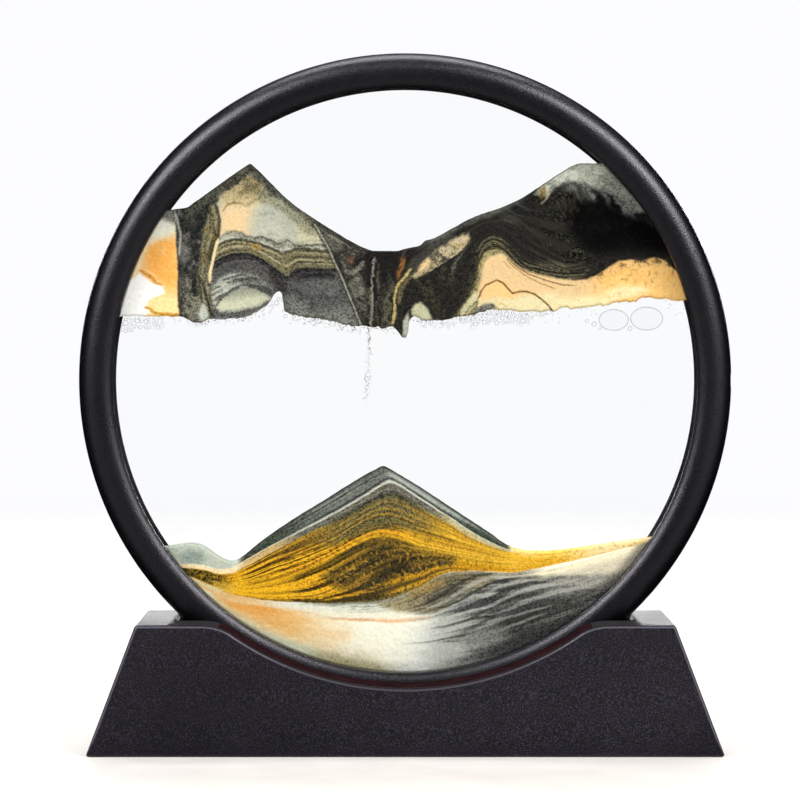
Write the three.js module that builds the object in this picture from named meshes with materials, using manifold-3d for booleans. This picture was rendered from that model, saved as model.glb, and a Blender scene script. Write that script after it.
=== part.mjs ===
// Moving sand art frame: a flat round glass cell of liquid, air and coloured sand in a
// moulded black ring, standing upright in a trapezoid base. The ring lifts out of the
// base, turns over, and has a small fill plug in its rim.
//
// Millimetres, +Z up, -Y is the front. The origin is on the table under the middle of
// the base. The ring's axis is along Y, at height RING_Z.

import * as THREE from "three";
import { mergeVertices } from "three/addons/utils/BufferGeometryUtils.js";
import Module from "manifold-3d";

// ---------------------------------------------------------------- driving dimensions
const SEG = 56; // facets round the ring

// ring (two moulded halves, split on the plane y = 0)
const RING_R = 89; // outer radius: 178 mm over the ring
const RING_MID_R = 83.4; // radius of the section's front and rear crests
const RING_HALF_T = 7.5; // half of the 15 mm thickness
const RING_POWER = 2.25; // superellipse power of the section's outer side
const BEVEL_TOP = [82.55, 7.25]; // outer edge of the inner bevel: radius, half thickness there
const LIP_R = 79.4; // inner edge of the bevel, at the glass
const RING_Z = 100; // height of the ring's axis above the table
const POCKET_R = 84.2; // pocket that holds the glass cell
const LIP_Y = 4.9; // inner face of the lip that holds the glass
const PART_GAP = 0.05; // half of the parting line
const TONGUE = [85.9, 86.9, 1.5]; // locating tongue: inner and outer radius, height
const GROOVE = [85.7, 87.1, 1.8];

// glass cell
const GLASS_R = 83.6;
const GLASS_IN = 2.0; // half of the 4 mm gap between the panes
const GLASS_OUT = 4.5; // panes are 2.5 mm thick
const SPACER = [80.6, 83.4, 1.65]; // inner and outer radius, half thickness
const SEAL = [80.8, 83.2, 1.7, 1.95];
const GASKET = [79.9, 83.6, 4.55, 4.85];

// fill port, on the +X side of the rim
const PORT_R = 2.6; // hole through the ring
const PORT_HEAD_R = 3.25; // counterbore for the plug's head
const PORT_HEAD_AT = 87.55; // radius at the counterbore's floor
const PLUG_R = 2.4;
const PLUG_HEAD_R = 3.0;
const PLUG_FACE = 88.55; // radius at the plug's outer face
const STOPPER_R = 0.85; // stem, in the spacer's hole
const STOPPER_HOLE_R = 1.0;
const STOPPER_HEAD_R = 2.2;

// contents, between the panes
const FILL_R = 80.2;
const FILL_HALF = 1.7;

// base
const BASE_FOOT = 0.2; // the shell's rim stands this far off the table, on the pads
const BASE_H = 35;
const BASE_W = 170.4; // at the bottom
const BASE_W_TOP = 144.2;
const BASE_D = 48;
const BASE_D_TOP = 45;
const WALL = 2.5;
const SADDLE_R = 81.8; // front and rear rims of the saddle, round the ring's axis
const BED_R = 82.7; // bed for the liner, between the rims
const BED_Y = 21.4; // half of the bed's width
const SLOT_R = 90.3; // floor of the ring's slot
const SLOT_HALF = 8.9;

// cradle liner: a soft channel in the saddle
const LINER_T = 0.8;
const LINER_GAP = 0.1;
const LINER_Y = 21.3; // half of its width over the shoulders
const LINER_TOP = 34.3; // height of its ends, which run out in the rounded shoulders

// bottom cover, screws and pads
const COVER_Z = [0.9, 2.9];
const COVER_HALF = [80.9, 21.0];
const BOSS_XY = [58, 15];
const BOSS_R = 3.3;
const PILOT_R = 1.3;
const SCREW_R = 1.15;
const SCREW_HEAD_R = 2.6;
const PAD_XY = [71, 13.5];
const PAD_R = 5;
const PAD_T = 1.4;

// ---------------------------------------------------------------- solids
const wasm = await Module();
wasm.setup();

function toSolid(geometry) {
  const g = geometry.index ? geometry.toNonIndexed() : geometry.clone();
  for (const name of Object.keys(g.attributes)) if (name !== "position") g.deleteAttribute(name);
  const m = mergeVertices(g, 1e-4);
  const tri = [];
  for (let i = 0; i < m.index.count; i += 3) {
    const [a, b, c] = [m.index.getX(i), m.index.getX(i + 1), m.index.getX(i + 2)];
    if (a !== b && b !== c && a !== c) tri.push(a, b, c);
  }
  const make = (t) =>
    new wasm.Manifold(
      new wasm.Mesh({
        numProp: 3,
        vertProperties: new Float32Array(m.attributes.position.array),
        triVerts: new Uint32Array(t),
      }),
    );
  let solid = make(tri);
  if (solid.volume() < 0) {
    for (let i = 0; i < tri.length; i += 3) [tri[i + 1], tri[i + 2]] = [tri[i + 2], tri[i + 1]];
    solid = make(tri);
  }
  return solid;
}

function toGeometry(solid) {
  const m = solid.getMesh();
  const v = new Float32Array(m.numVert * 3);
  for (let i = 0; i < m.numVert; i++) v.set(m.vertProperties.subarray(i * m.numProp, i * m.numProp + 3), i * 3);
  return new THREE.BufferGeometry()
    .setAttribute("position", new THREE.BufferAttribute(v, 3))
    .setIndex(new THREE.BufferAttribute(new Uint32Array(m.triVerts), 1));
}

// a closed [radius, y] section turned round the Y axis
function turned(section, segments = SEG) {
  const points = [...section, section[0]].map(([r, y]) => new THREE.Vector2(r, y));
  return toSolid(new THREE.LatheGeometry(points, segments));
}
const washer = (r0, r1, y0, y1, segments = SEG) =>
  turned(
    [
      [r0, y0],
      [r1, y0],
      [r1, y1],
      [r0, y1],
    ],
    segments,
  );
function disc(radius, y0, y1, segments = SEG) {
  const g = new THREE.CylinderGeometry(radius, radius, y1 - y0, segments);
  g.translate(0, (y0 + y1) / 2, 0);
  return toSolid(g);
}
function box(x0, x1, y0, y1, z0, z1) {
  const g = new THREE.BoxGeometry(x1 - x0, y1 - y0, z1 - z0);
  g.translate((x0 + x1) / 2, (y0 + y1) / 2, (z0 + z1) / 2);
  return toSolid(g);
}
// a cylinder or cone along +X or +Z
function rod(axis, r0, r1, a0, a1, segments = 24, at = [0, 0]) {
  const g = new THREE.CylinderGeometry(r1, r0, a1 - a0, segments);
  g.translate(0, (a0 + a1) / 2, 0);
  if (axis === "x") g.rotateZ(-Math.PI / 2);
  if (axis === "z") {
    g.rotateX(Math.PI / 2);
    g.translate(at[0], at[1], 0);
  }
  return toSolid(g);
}
// an [x, z] outline with thickness from y0 to y1
function plate(outline, y0, y1) {
  const shape = new THREE.Shape(outline.map(([x, z]) => new THREE.Vector2(x, z)));
  const g = new THREE.ExtrudeGeometry(shape, { depth: y1 - y0, bevelEnabled: false, curveSegments: 1 });
  g.rotateX(Math.PI / 2);
  g.translate(0, y1, 0);
  return toSolid(g);
}
// a [y, z] outline with length from x0 to x1
function bar(outline, x0, x1) {
  const shape = new THREE.Shape(outline.map(([y, z]) => new THREE.Vector2(y, z)));
  const g = new THREE.ExtrudeGeometry(shape, { depth: x1 - x0, bevelEnabled: false, curveSegments: 1 });
  // local x, y, z become y, z, x
  g.applyMatrix4(new THREE.Matrix4().set(0, 0, 1, x0, 1, 0, 0, 0, 0, 1, 0, 0, 0, 0, 0, 1));
  return toSolid(g);
}
const up = (solid) => solid.translate([0, 0, RING_Z]);

// ---------------------------------------------------------------- materials
const finish = (colour, roughness, metalness = 0, more = {}) =>
  new THREE.MeshStandardMaterial({ color: colour, roughness, metalness, ...more });
const blackPlastic = finish(0x1b1b1f, 0.45);
const basePlastic = finish(0x202024, 0.5);
const clearGlass = finish(0xf4fbfb, 0.03, 0, { transparent: true, opacity: 0.15 });
const clearPvc = finish(0xdfe4e2, 0.3, 0, { transparent: true, opacity: 0.6 });
const sealant = finish(0x26262a, 0.7);
const foam = finish(0x18181a, 0.9);
const rubber = finish(0x141416, 0.8);
const linerRubber = finish(0x331a1c, 0.75);
const screwSteel = finish(0x8d9094, 0.35, 0.9);
const sandMix = finish(0x7a6a45, 0.95);
const sandLow = finish(0xb98a2c, 0.95);
const liquid = finish(0xf6f9fa, 0.02, 0, { transparent: true, opacity: 0.08 });
const air = finish(0xffffff, 0.02, 0, { transparent: true, opacity: 0.08 });

const root = new THREE.Group();
const groups = {};
for (const name of ["base", "contents", "disc", "plug"]) {
  groups[name] = new THREE.Group();
  groups[name].name = name;
  root.add(groups[name]);
}
function add(group, name, solid, material) {
  const mesh = new THREE.Mesh(toGeometry(solid), material.clone());
  mesh.name = name;
  groups[group].add(mesh);
}

// ---------------------------------------------------------------- ring halves
// the outside of the section: from the lip's edge up the inner bevel to the front, then round to the parting line
function ringSkin(sign, steps = 9) {
  const a = RING_R - RING_MID_R;
  const points = [
    [LIP_R, sign * LIP_Y],
    [BEVEL_TOP[0], sign * BEVEL_TOP[1]],
  ];
  for (let i = 0; i <= steps; i++) {
    const t = (Math.PI / 2) * (1 - i / steps);
    const r = RING_MID_R + a * Math.pow(Math.max(Math.cos(t), 0), 2 / RING_POWER);
    const y = RING_HALF_T * Math.pow(Math.sin(t), 2 / RING_POWER);
    points.push([r, sign * Math.max(y, PART_GAP)]);
  }
  return points;
}

const portHole = rod("x", PORT_R, PORT_R, 70, 95, 24).add(rod("x", PORT_HEAD_R, PORT_HEAD_R, PORT_HEAD_AT, 95, 24));

const frontSection = [
  ...ringSkin(-1),
  [TONGUE[1], -PART_GAP],
  [TONGUE[1], TONGUE[2]],
  [TONGUE[0], TONGUE[2]],
  [TONGUE[0], -PART_GAP],
  [POCKET_R, -PART_GAP],
  [POCKET_R, -LIP_Y],
];
const rearSection = [
  ...ringSkin(1),
  [GROOVE[1], PART_GAP],
  [GROOVE[1], GROOVE[2]],
  [GROOVE[0], GROOVE[2]],
  [GROOVE[0], PART_GAP],
  [POCKET_R, PART_GAP],
  [POCKET_R, LIP_Y],
];
add("disc", "front_ring", up(turned(frontSection).subtract(portHole)), blackPlastic);
add("disc", "rear_ring", up(turned(rearSection).subtract(portHole)), blackPlastic);

// ---------------------------------------------------------------- glass cell
add("disc", "front_glass", up(disc(GLASS_R, -GLASS_OUT, -GLASS_IN)), clearGlass);
add("disc", "rear_glass", up(disc(GLASS_R, GLASS_IN, GLASS_OUT)), clearGlass);
add(
  "disc",
  "spacer_ring",
  up(washer(SPACER[0], SPACER[1], -SPACER[2], SPACER[2]).subtract(rod("x", STOPPER_HOLE_R, STOPPER_HOLE_R, 70, 95, 20))),
  clearPvc,
);
add("disc", "front_seal", up(washer(SEAL[0], SEAL[1], -SEAL[3], -SEAL[2])), sealant);
add("disc", "rear_seal", up(washer(SEAL[0], SEAL[1], SEAL[2], SEAL[3])), sealant);
add("disc", "front_gasket", up(washer(GASKET[0], GASKET[1], -GASKET[3], -GASKET[2])), foam);
add("disc", "rear_gasket", up(washer(GASKET[0], GASKET[1], GASKET[2], GASKET[3])), foam);

// rubber stopper that a needle goes through, seated on the spacer's rim behind the plug
add(
  "disc",
  "fill_stopper",
  up(rod("x", STOPPER_R, STOPPER_R, 80.9, 83.7, 20).add(rod("x", STOPPER_HEAD_R, STOPPER_HEAD_R, 83.65, 84.9, 20))),
  rubber,
);
// push-in plug that covers the port, with a shallow finger-nail slot in its face
const plugBody = rod("x", PLUG_R, PLUG_R, 85.3, PORT_HEAD_AT + 0.2, 24)
  .add(rod("x", PLUG_HEAD_R, PLUG_HEAD_R - 0.15, PORT_HEAD_AT + 0.1, PLUG_FACE, 24))
  .subtract(box(PLUG_FACE - 0.4, PLUG_FACE + 1, -2.1, 2.1, -0.4, 0.4));
add("plug", "fill_plug", up(plugBody), rubber);

// ---------------------------------------------------------------- contents
// Outlines are in the plane of the glass: x to the right and z above the ring's axis.
const upperTop = [
  [-64.5, 46.2],
  [-59.7, 46.6],
  [-42.4, 59.0],
  [-36.2, 52.5],
  [-31.0, 47.4],
  [-24.1, 42.7],
  [-14.4, 37.1],
  [-9.7, 35.0],
  [-2.3, 34.9],
  [3.9, 36.6],
  [12.6, 41.3],
  [17.9, 44.2],
  [25.6, 46.8],
  [30.9, 49.2],
  [36.8, 52.8],
  [42.2, 56.3],
  [47.2, 59.0],
  [56.0, 59.2],
];
const upperBottom = [
  [79.0, 22.0],
  [70.0, 22.3],
  [63.5, 21.1],
  [50.0, 19.6],
  [44.5, 19.9],
  [34.5, 18.8],
  [25.0, 19.5],
  [18.4, 17.6],
  [11.0, 16.6],
  [4.9, 16.5],
  [1.0, 18.0],
  [0.4, 12.9],
  [-1.6, 13.4],
  [-3.5, 15.2],
  [-5.8, 14.2],
  [-8.7, 14.9],
  [-13.8, 14.6],
  [-23.0, 16.6],
  [-33.3, 18.2],
  [-36.4, 22.0],
  [-38.5, 20.1],
  [-46.0, 16.9],
  [-55.2, 15.8],
  [-59.8, 16.0],
  [-61.5, 17.4],
  [-71.3, 18.6],
  [-78.0, 18.2],
];
const lowerTop = [
  [-68.0, -45.6],
  [-64.8, -45.3],
  [-58.4, -44.7],
  [-54.5, -46.1],
  [-51.1, -48.4],
  [-47.8, -49.5],
  [-45.0, -48.7],
  [-38.9, -43.6],
  [-31.6, -38.6],
  [-22.1, -33.0],
  [-6.1, -23.4],
  [4.9, -29.7],
  [16.7, -37.6],
  [28.5, -45.4],
  [34.5, -46.8],
  [40.4, -46.7],
  [46.3, -45.9],
  [52.2, -45.0],
  [58.2, -44.2],
  [69.0, -42.8],
];
const shifted = (points, dz) => points.map(([x, z]) => [x, z + dz]);
const fillDisc = disc(FILL_R, -FILL_HALF, FILL_HALF);
const within = (outline) => fillDisc.intersect(plate(outline, -FILL_HALF - 1, FILL_HALF + 1));

add(
  "contents",
  "upper_sand",
  up(within([[-90, 46.0], ...upperTop, [90, 59.4], [90, 21.8], ...upperBottom, [-90, 18.0]])),
  sandMix,
);
add("contents", "lower_sand", up(within([[-90, -45.8], ...lowerTop, [90, -42.0], [90, -90], [-90, -90]])), sandLow);
add(
  "contents",
  "sand_stream",
  up(
    plate(
      [
        [-10.6, 14.2],
        [-9.4, 14.2],
        [-9.7, -5.0],
        [-10.2, -5.0],
      ],
      -0.5,
      0.5,
    ),
  ),
  sandMix,
);
add("contents", "upper_liquid", up(within([[-90, 46.6], ...shifted(upperTop, 0.6), [90, 60.0], [90, 90], [-90, 90]])), liquid);
// air caught in two froth bands under the upper sand, either side of the falling stream
const bandLow = 12.6;
add(
  "contents",
  "air_pocket_left",
  up(
    within([
      [-90, bandLow],
      [-12.5, bandLow],
      [-12.5, 14.0],
      [-23.2, 15.9],
      [-33.5, 17.5],
      [-36.4, 21.0],
      [-38.2, 19.4],
      [-46.0, 16.2],
      [-55.2, 15.1],
      [-60.2, 15.3],
      [-61.9, 16.8],
      [-71.3, 17.9],
      [-90, 17.4],
    ]),
  ),
  air,
);
add(
  "contents",
  "air_pocket_right",
  up(
    within([
      [90, bandLow],
      [2.2, bandLow],
      [2.2, 16.0],
      [4.7, 15.8],
      [11.1, 15.9],
      [18.6, 16.9],
      [24.9, 18.8],
      [34.5, 18.1],
      [44.6, 19.2],
      [50.2, 18.9],
      [63.7, 20.4],
      [70.0, 21.6],
      [90, 21.3],
    ]),
  ),
  air,
);
add(
  "contents",
  "lower_liquid",
  up(
    within([
      [-90, 12.1],
      [-10.9, 12.1],
      [-10.4, -5.6],
      [-9.5, -5.6],
      [-9.1, 12.1],
      [90, 12.1],
      [90, -41.4],
      ...shifted(lowerTop, 0.6).reverse(),
      [-90, -45.2],
    ]),
  ),
  liquid,
);

// ---------------------------------------------------------------- base
const frontOutline = (w0, w1, z0, z1) => [
  [-w0 / 2, z0],
  [w0 / 2, z0],
  [w1 / 2, z1],
  [-w1 / 2, z1],
];
const sideSlope = (BASE_W - BASE_W_TOP) / 2 / (BASE_H - BASE_FOOT);
const faceSlope = (BASE_D - BASE_D_TOP) / 2 / (BASE_H - BASE_FOOT);
function block(inset, z0, z1) {
  const at = (w, slope, z) => w - 2 * slope * (z - BASE_FOOT) - 2 * inset;
  const w = (z) => at(BASE_W, sideSlope, z);
  const d = (z) => at(BASE_D, faceSlope, z);
  return plate(frontOutline(w(z0), w(z1), z0, z1), -60, 60).intersect(bar(frontOutline(d(z0), d(z1), z0, z1), -120, 120));
}
const saddle = (r, half) => up(disc(r, -half, half, SEG));
let shell = block(0, BASE_FOOT, BASE_H)
  .subtract(saddle(SADDLE_R, 60))
  .subtract(saddle(BED_R, BED_Y))
  .subtract(saddle(SLOT_R, SLOT_HALF));
// the hollow underneath, leaving a wall under the saddle and beside the slot
const hollow = block(WALL, BASE_FOOT, BASE_H - WALL)
  .add(block(WALL, BASE_FOOT - 0.5, BASE_FOOT + 1))
  .subtract(saddle(BED_R + WALL, 60))
  .subtract(saddle(SLOT_R + WALL, SLOT_HALF + WALL));
shell = shell.subtract(hollow);
const corners = [
  [-1, -1],
  [1, -1],
  [1, 1],
  [-1, 1],
];
for (const [sx, sy] of corners) {
  const at = [sx * BOSS_XY[0], sy * BOSS_XY[1]];
  shell = shell
    .add(rod("z", BOSS_R, BOSS_R, COVER_Z[1] + 0.1, BASE_H - WALL + 0.5, 20, at))
    .subtract(rod("z", PILOT_R, PILOT_R, COVER_Z[1] - 1, 14, 16, at));
}
// round over where the saddle's shoulders meet the top, seen from the front
const topAt = Math.sqrt(SADDLE_R ** 2 - (RING_Z - BASE_H) ** 2);
const shoulderCuts = [-1, 1].map((sx) => {
  const steps = 5,
    reach = 5.2,
    outline = [];
  const p0 = [topAt + reach, BASE_H];
  const angle = Math.asin((topAt - reach * 0.62) / SADDLE_R);
  const p2 = [SADDLE_R * Math.sin(angle), RING_Z - SADDLE_R * Math.cos(angle)];
  const p1 = [topAt + 0.2, BASE_H];
  for (let i = 0; i <= steps; i++) {
    const t = i / steps;
    outline.push([0, 1].map((k) => (1 - t) ** 2 * p0[k] + 2 * t * (1 - t) * p1[k] + t * t * p2[k]));
  }
  const cut = [...outline, [p2[0] - 1, BASE_H + 3], [p0[0], BASE_H + 3]].map(([x, z]) => [sx * x, z]);
  return plate(cut, -60, 60);
});
for (const cut of shoulderCuts) shell = shell.subtract(cut);
add("base", "base_shell", shell, basePlastic);

// cradle liner: shoulders, slot walls and slot floor in one soft channel
const s0 = BED_R - LINER_GAP - LINER_T,
  s1 = BED_R - LINER_GAP,
  f0 = SLOT_R - LINER_GAP - LINER_T,
  f1 = SLOT_R - LINER_GAP,
  w0 = SLOT_HALF - LINER_GAP - LINER_T,
  w1 = SLOT_HALF - LINER_GAP;
const liner = turned([
  [s0, -LINER_Y],
  [s1, -LINER_Y],
  [s1, -w1],
  [f1, -w1],
  [f1, w1],
  [s1, w1],
  [s1, LINER_Y],
  [s0, LINER_Y],
  [s0, w0],
  [f0, w0],
  [f0, -w0],
  [s0, -w0],
]);
let cradle = up(liner).intersect(box(-120, 120, -60, 60, 0, LINER_TOP));
for (const cut of shoulderCuts) cradle = cradle.subtract(cut);
add("base", "cradle_liner", cradle, linerRubber);

// bottom cover, held by four screws, with a recess for each pad
let cover = box(-COVER_HALF[0], COVER_HALF[0], -COVER_HALF[1], COVER_HALF[1], COVER_Z[0], COVER_Z[1]);
const headTop = COVER_Z[0] + 1.5;
corners.forEach(([sx, sy]) => {
  const b = [sx * BOSS_XY[0], sy * BOSS_XY[1]],
    p = [sx * PAD_XY[0], sy * PAD_XY[1]];
  cover = cover
    .subtract(rod("z", PILOT_R + 0.2, PILOT_R + 0.2, 0, 5, 16, b))
    .subtract(rod("z", SCREW_HEAD_R + 0.35, PILOT_R + 0.2, COVER_Z[0] - 0.01, headTop, 20, b))
    .subtract(rod("z", PAD_R + 0.2, PAD_R + 0.2, 0, PAD_T + 0.1, 28, p));
});
add("base", "bottom_cover", cover, basePlastic);
corners.forEach(([sx, sy], i) => {
  const b = [sx * BOSS_XY[0], sy * BOSS_XY[1]],
    p = [sx * PAD_XY[0], sy * PAD_XY[1]];
  const low = COVER_Z[0] + 0.1;
  const screw = rod("z", SCREW_HEAD_R, SCREW_R, low, headTop + 0.1, 20, b)
    .add(rod("z", SCREW_R, SCREW_R, headTop, 11.5, 16, b))
    .add(rod("z", SCREW_R, 0.25, 11.45, 12.9, 16, b))
    .subtract(box(b[0] - 1.5, b[0] + 1.5, b[1] - 0.28, b[1] + 0.28, 0, low + 0.7))
    .subtract(box(b[0] - 0.28, b[0] + 0.28, b[1] - 1.5, b[1] + 1.5, 0, low + 0.7));
  add("base", "cover_screw_" + (i + 1), screw, screwSteel);
  add("base", "foot_pad_" + (i + 1), rod("z", PAD_R - 0.2, PAD_R, 0, PAD_T, 28, p), rubber);
});

export default root;
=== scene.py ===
import math

import bpy
import bmesh
import numpy as np
from mathutils import Matrix, Vector


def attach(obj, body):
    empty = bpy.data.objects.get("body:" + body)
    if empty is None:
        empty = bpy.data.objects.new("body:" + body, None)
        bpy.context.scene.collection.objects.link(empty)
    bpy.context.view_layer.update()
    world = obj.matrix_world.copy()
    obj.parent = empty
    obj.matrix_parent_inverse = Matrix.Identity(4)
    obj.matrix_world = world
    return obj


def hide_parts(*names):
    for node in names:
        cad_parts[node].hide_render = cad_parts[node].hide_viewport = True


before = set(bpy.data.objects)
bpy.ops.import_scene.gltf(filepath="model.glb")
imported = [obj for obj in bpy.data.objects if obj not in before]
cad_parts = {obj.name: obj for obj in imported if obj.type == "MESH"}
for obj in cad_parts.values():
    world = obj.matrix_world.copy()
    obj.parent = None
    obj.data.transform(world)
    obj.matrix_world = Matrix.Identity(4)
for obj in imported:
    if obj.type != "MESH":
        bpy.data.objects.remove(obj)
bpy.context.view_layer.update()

MM = 0.001

# ---------------------------------------------------------------- sizes, in millimetres, as in the CAD part
RING_Z = 100.0                       # height of the ring's axis
RING_R, CREST_R, RING_HALF, RING_POWER = 89.0, 83.4, 7.5, 2.25
LIP_R, LIP_Y, POCKET_R = 79.4, 4.9, 84.2
PART_GAP = 0.05
GLASS_R, GLASS_IN, GLASS_OUT = 83.6, 2.0, 4.5
BASE_FOOT, BASE_H = 0.2, 35.0
BASE_W, BASE_W_TOP, BASE_D, BASE_D_TOP, WALL = 170.4, 144.2, 48.0, 45.0, 2.5
SADDLE_R, BED_R, BED_Y, SLOT_R, SLOT_HALF = 81.8, 82.7, 21.4, 90.3, 8.9

scene = bpy.context.scene
scene.view_settings.view_transform = "Standard"
scene.cycles.transparent_max_bounces = 64

# ---------------------------------------------------------------- camera: a frontal view, a little above the ring's middle
PX = 3112.0                          # focal length in pixels of the 800 x 800 frame
camera_data = bpy.data.cameras.new("camera")
camera_data.sensor_fit = "HORIZONTAL"
camera_data.sensor_width = 36.0
camera_data.lens = 36.0 * PX / 800.0
camera_data.clip_start, camera_data.clip_end = 0.05, 20.0
camera = bpy.data.objects.new("camera", camera_data)
scene.collection.objects.link(camera)
camera.location = (-0.0014, -0.850, 0.116)
camera.rotation_euler = (math.radians(90.0 - 1.445), 0.0, 0.0)
scene.camera = camera


# ---------------------------------------------------------------- mesh tools
def link(name, mesh):
    ob = bpy.data.objects.new(name, mesh)
    scene.collection.objects.link(ob)
    return ob


def mesh_of(name, verts, faces, scale=MM):
    """A mesh from arrays of points (millimetres) and faces."""
    me = bpy.data.meshes.new(name)
    v = np.asarray(verts, float) * scale
    me.from_pydata(v.tolist(), [], [tuple(int(i) for i in f) for f in faces])
    me.validate(clean_customdata=False)
    me.update()
    return me


def outward(ob):
    bm = bmesh.new()
    bm.from_mesh(ob.data)
    bmesh.ops.remove_doubles(bm, verts=bm.verts, dist=1e-7)
    bmesh.ops.recalc_face_normals(bm, faces=bm.faces)
    if bm.calc_volume(signed=True) < 0:
        bmesh.ops.reverse_faces(bm, faces=bm.faces)
    bm.to_mesh(ob.data)
    bm.free()
    return ob


def shade(ob, angle=32.0):
    me = ob.data
    me.polygons.foreach_set("use_smooth", np.ones(len(me.polygons), bool))
    if angle is not None:
        me.set_sharp_from_angle(angle=math.radians(angle))
    me.update()
    return ob


def boolean(a, b, operation="DIFFERENCE"):
    """a cut by (or joined to) b, which is then removed."""
    m = a.modifiers.new("cut", "BOOLEAN")
    m.operation, m.object, m.solver = operation, b, "EXACT"
    dg = bpy.context.evaluated_depsgraph_get()
    me = bpy.data.meshes.new_from_object(a.evaluated_get(dg))
    a.modifiers.clear()
    old, a.data = a.data, me
    bpy.data.meshes.remove(old)
    data = b.data
    bpy.data.objects.remove(b)
    bpy.data.meshes.remove(data)
    return a


def piece(ob, body, nodes, material):
    """A finished piece: its material, the body it rides on and the nodes it stands for."""
    ob.data.materials.clear()
    ob.data.materials.append(material)
    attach(ob, body)
    if nodes:
        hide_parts(*nodes)
    return ob


def lathe(name, section, segments=240, axis="y", centre=(0.0, 0.0, RING_Z), arc=None):
    """A closed [radius, along] section turned round an axis, whole or over an arc (degrees from straight down)."""
    s = np.asarray(section, float)
    n = len(s)
    if arc is None:
        angles = np.arange(segments) * 2 * math.pi / segments
    else:
        angles = np.radians(np.linspace(arc[0], arc[1], segments)) + math.pi
    c, sn = np.cos(angles)[:, None], np.sin(angles)[:, None]
    r, a = s[None, :, 0], s[None, :, 1]
    along = np.broadcast_to(a, (len(angles), n))
    p, q = r * sn, r * c
    xyz = {"y": (p, along, q), "x": (along, p, q), "z": (p, q, along)}[axis]
    verts = np.stack(xyz, -1).reshape(-1, 3) + np.array(centre)
    rows = len(angles)
    faces = []
    for i in range(rows if arc is None else rows - 1):
        j = (i + 1) % rows
        for k in range(n):
            l = (k + 1) % n
            faces.append((i * n + k, i * n + l, j * n + l, j * n + k))
    if arc is not None:
        faces.append(tuple(range(n)))
        faces.append(tuple((rows - 1) * n + k for k in reversed(range(n))))
    return outward(link(name, mesh_of(name, verts, faces)))


def rounded(points, radius, steps=5):
    """A closed outline with each corner rounded; radius is one number or one for each corner."""
    p = np.asarray(points, float)
    n = len(p)
    radii = [radius] * n if np.isscalar(radius) else list(radius)
    out = []
    for i in range(n):
        a, b, c = p[i - 1], p[i], p[(i + 1) % n]
        u, v = (a - b) / np.linalg.norm(a - b), (c - b) / np.linalg.norm(c - b)
        half = math.acos(max(-1.0, min(1.0, float(u @ v)))) / 2
        if radii[i] <= 0 or half > math.pi / 2 - 0.02:
            out.append(b)
            continue
        t = min(radii[i] / math.tan(half), 0.49 * np.linalg.norm(a - b), 0.49 * np.linalg.norm(c - b))
        rr = t * math.tan(half)
        centre = b + (u + v) / np.linalg.norm(u + v) * (rr / math.sin(half))
        a0 = math.atan2(*((b + u * t) - centre)[::-1])
        a1 = math.atan2(*((b + v * t) - centre)[::-1])
        d = (a1 - a0 + math.pi) % (2 * math.pi) - math.pi
        for k in range(steps + 1):
            w = a0 + d * k / steps
            out.append(centre + rr * np.array([math.cos(w), math.sin(w)]))
    return np.array(out)


# ---------------------------------------------------------------- material tools
class Nodes:
    """A short way to write a node tree."""

    def __init__(self, name):
        self.mat = bpy.data.materials.new(name)
        self.mat.use_nodes = True
        self.tree = self.mat.node_tree
        self.tree.nodes.clear()
        self.out = self.tree.nodes.new("ShaderNodeOutputMaterial")

    def add(self, kind, inputs=None, **props):
        n = self.tree.nodes.new(kind)
        for k, v in props.items():
            setattr(n, k, v)
        for k, v in (inputs or {}).items():
            self.put(n, k, v)
        return n

    def put(self, node, socket, value):
        s = node.inputs[socket]
        if isinstance(value, bpy.types.NodeSocket):
            self.tree.links.new(value, s)
        elif isinstance(value, bpy.types.Node):
            self.tree.links.new(value.outputs[0], s)
        else:
            s.default_value = value

    def math(self, op, a, b=0.0, c=None, clamp=False):
        n = self.add("ShaderNodeMath", {0: a, 1: b}, operation=op, use_clamp=clamp)
        if c is not None:
            self.put(n, 2, c)
        return n.outputs[0]

    def ramp(self, value, lo, hi, to_lo=0.0, to_hi=1.0):
        return self.add("ShaderNodeMapRange", {"Value": value, "From Min": lo, "From Max": hi, "To Min": to_lo, "To Max": to_hi}).outputs[0]

    def mix(self, fac, a, b, blend="MIX"):
        n = self.add("ShaderNodeMix", data_type="RGBA", blend_type=blend)
        for i, v in ((0, fac), (6, a), (7, b)):
            self.put(n, i, v)
        return n.outputs[2]

    def noise(self, scale, detail=2.0, roughness=0.5, vector=None, distortion=0.0):
        n = self.add("ShaderNodeTexNoise", {"Scale": scale, "Detail": detail, "Roughness": roughness, "Distortion": distortion})
        if vector is not None:
            self.put(n, "Vector", vector)
        return n.outputs["Fac"]

    def place(self):
        return self.add("ShaderNodeTexCoord").outputs["Object"]

    def principled(self, **inputs):
        n = self.add("ShaderNodeBsdfPrincipled")
        for k, v in inputs.items():
            self.put(n, k.replace("_", " "), v)
        return n

    def surface(self, shader):
        self.put(self.out, "Surface", shader)
        return self.mat


def linear(rgb):
    c = np.asarray(rgb, float) / 255.0
    return np.where(c <= 0.04045, c / 12.92, ((c + 0.055) / 1.055) ** 2.4)


def rgba(r, g, b):
    return tuple(float(v) for v in linear((r, g, b))) + (1.0,)


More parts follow.
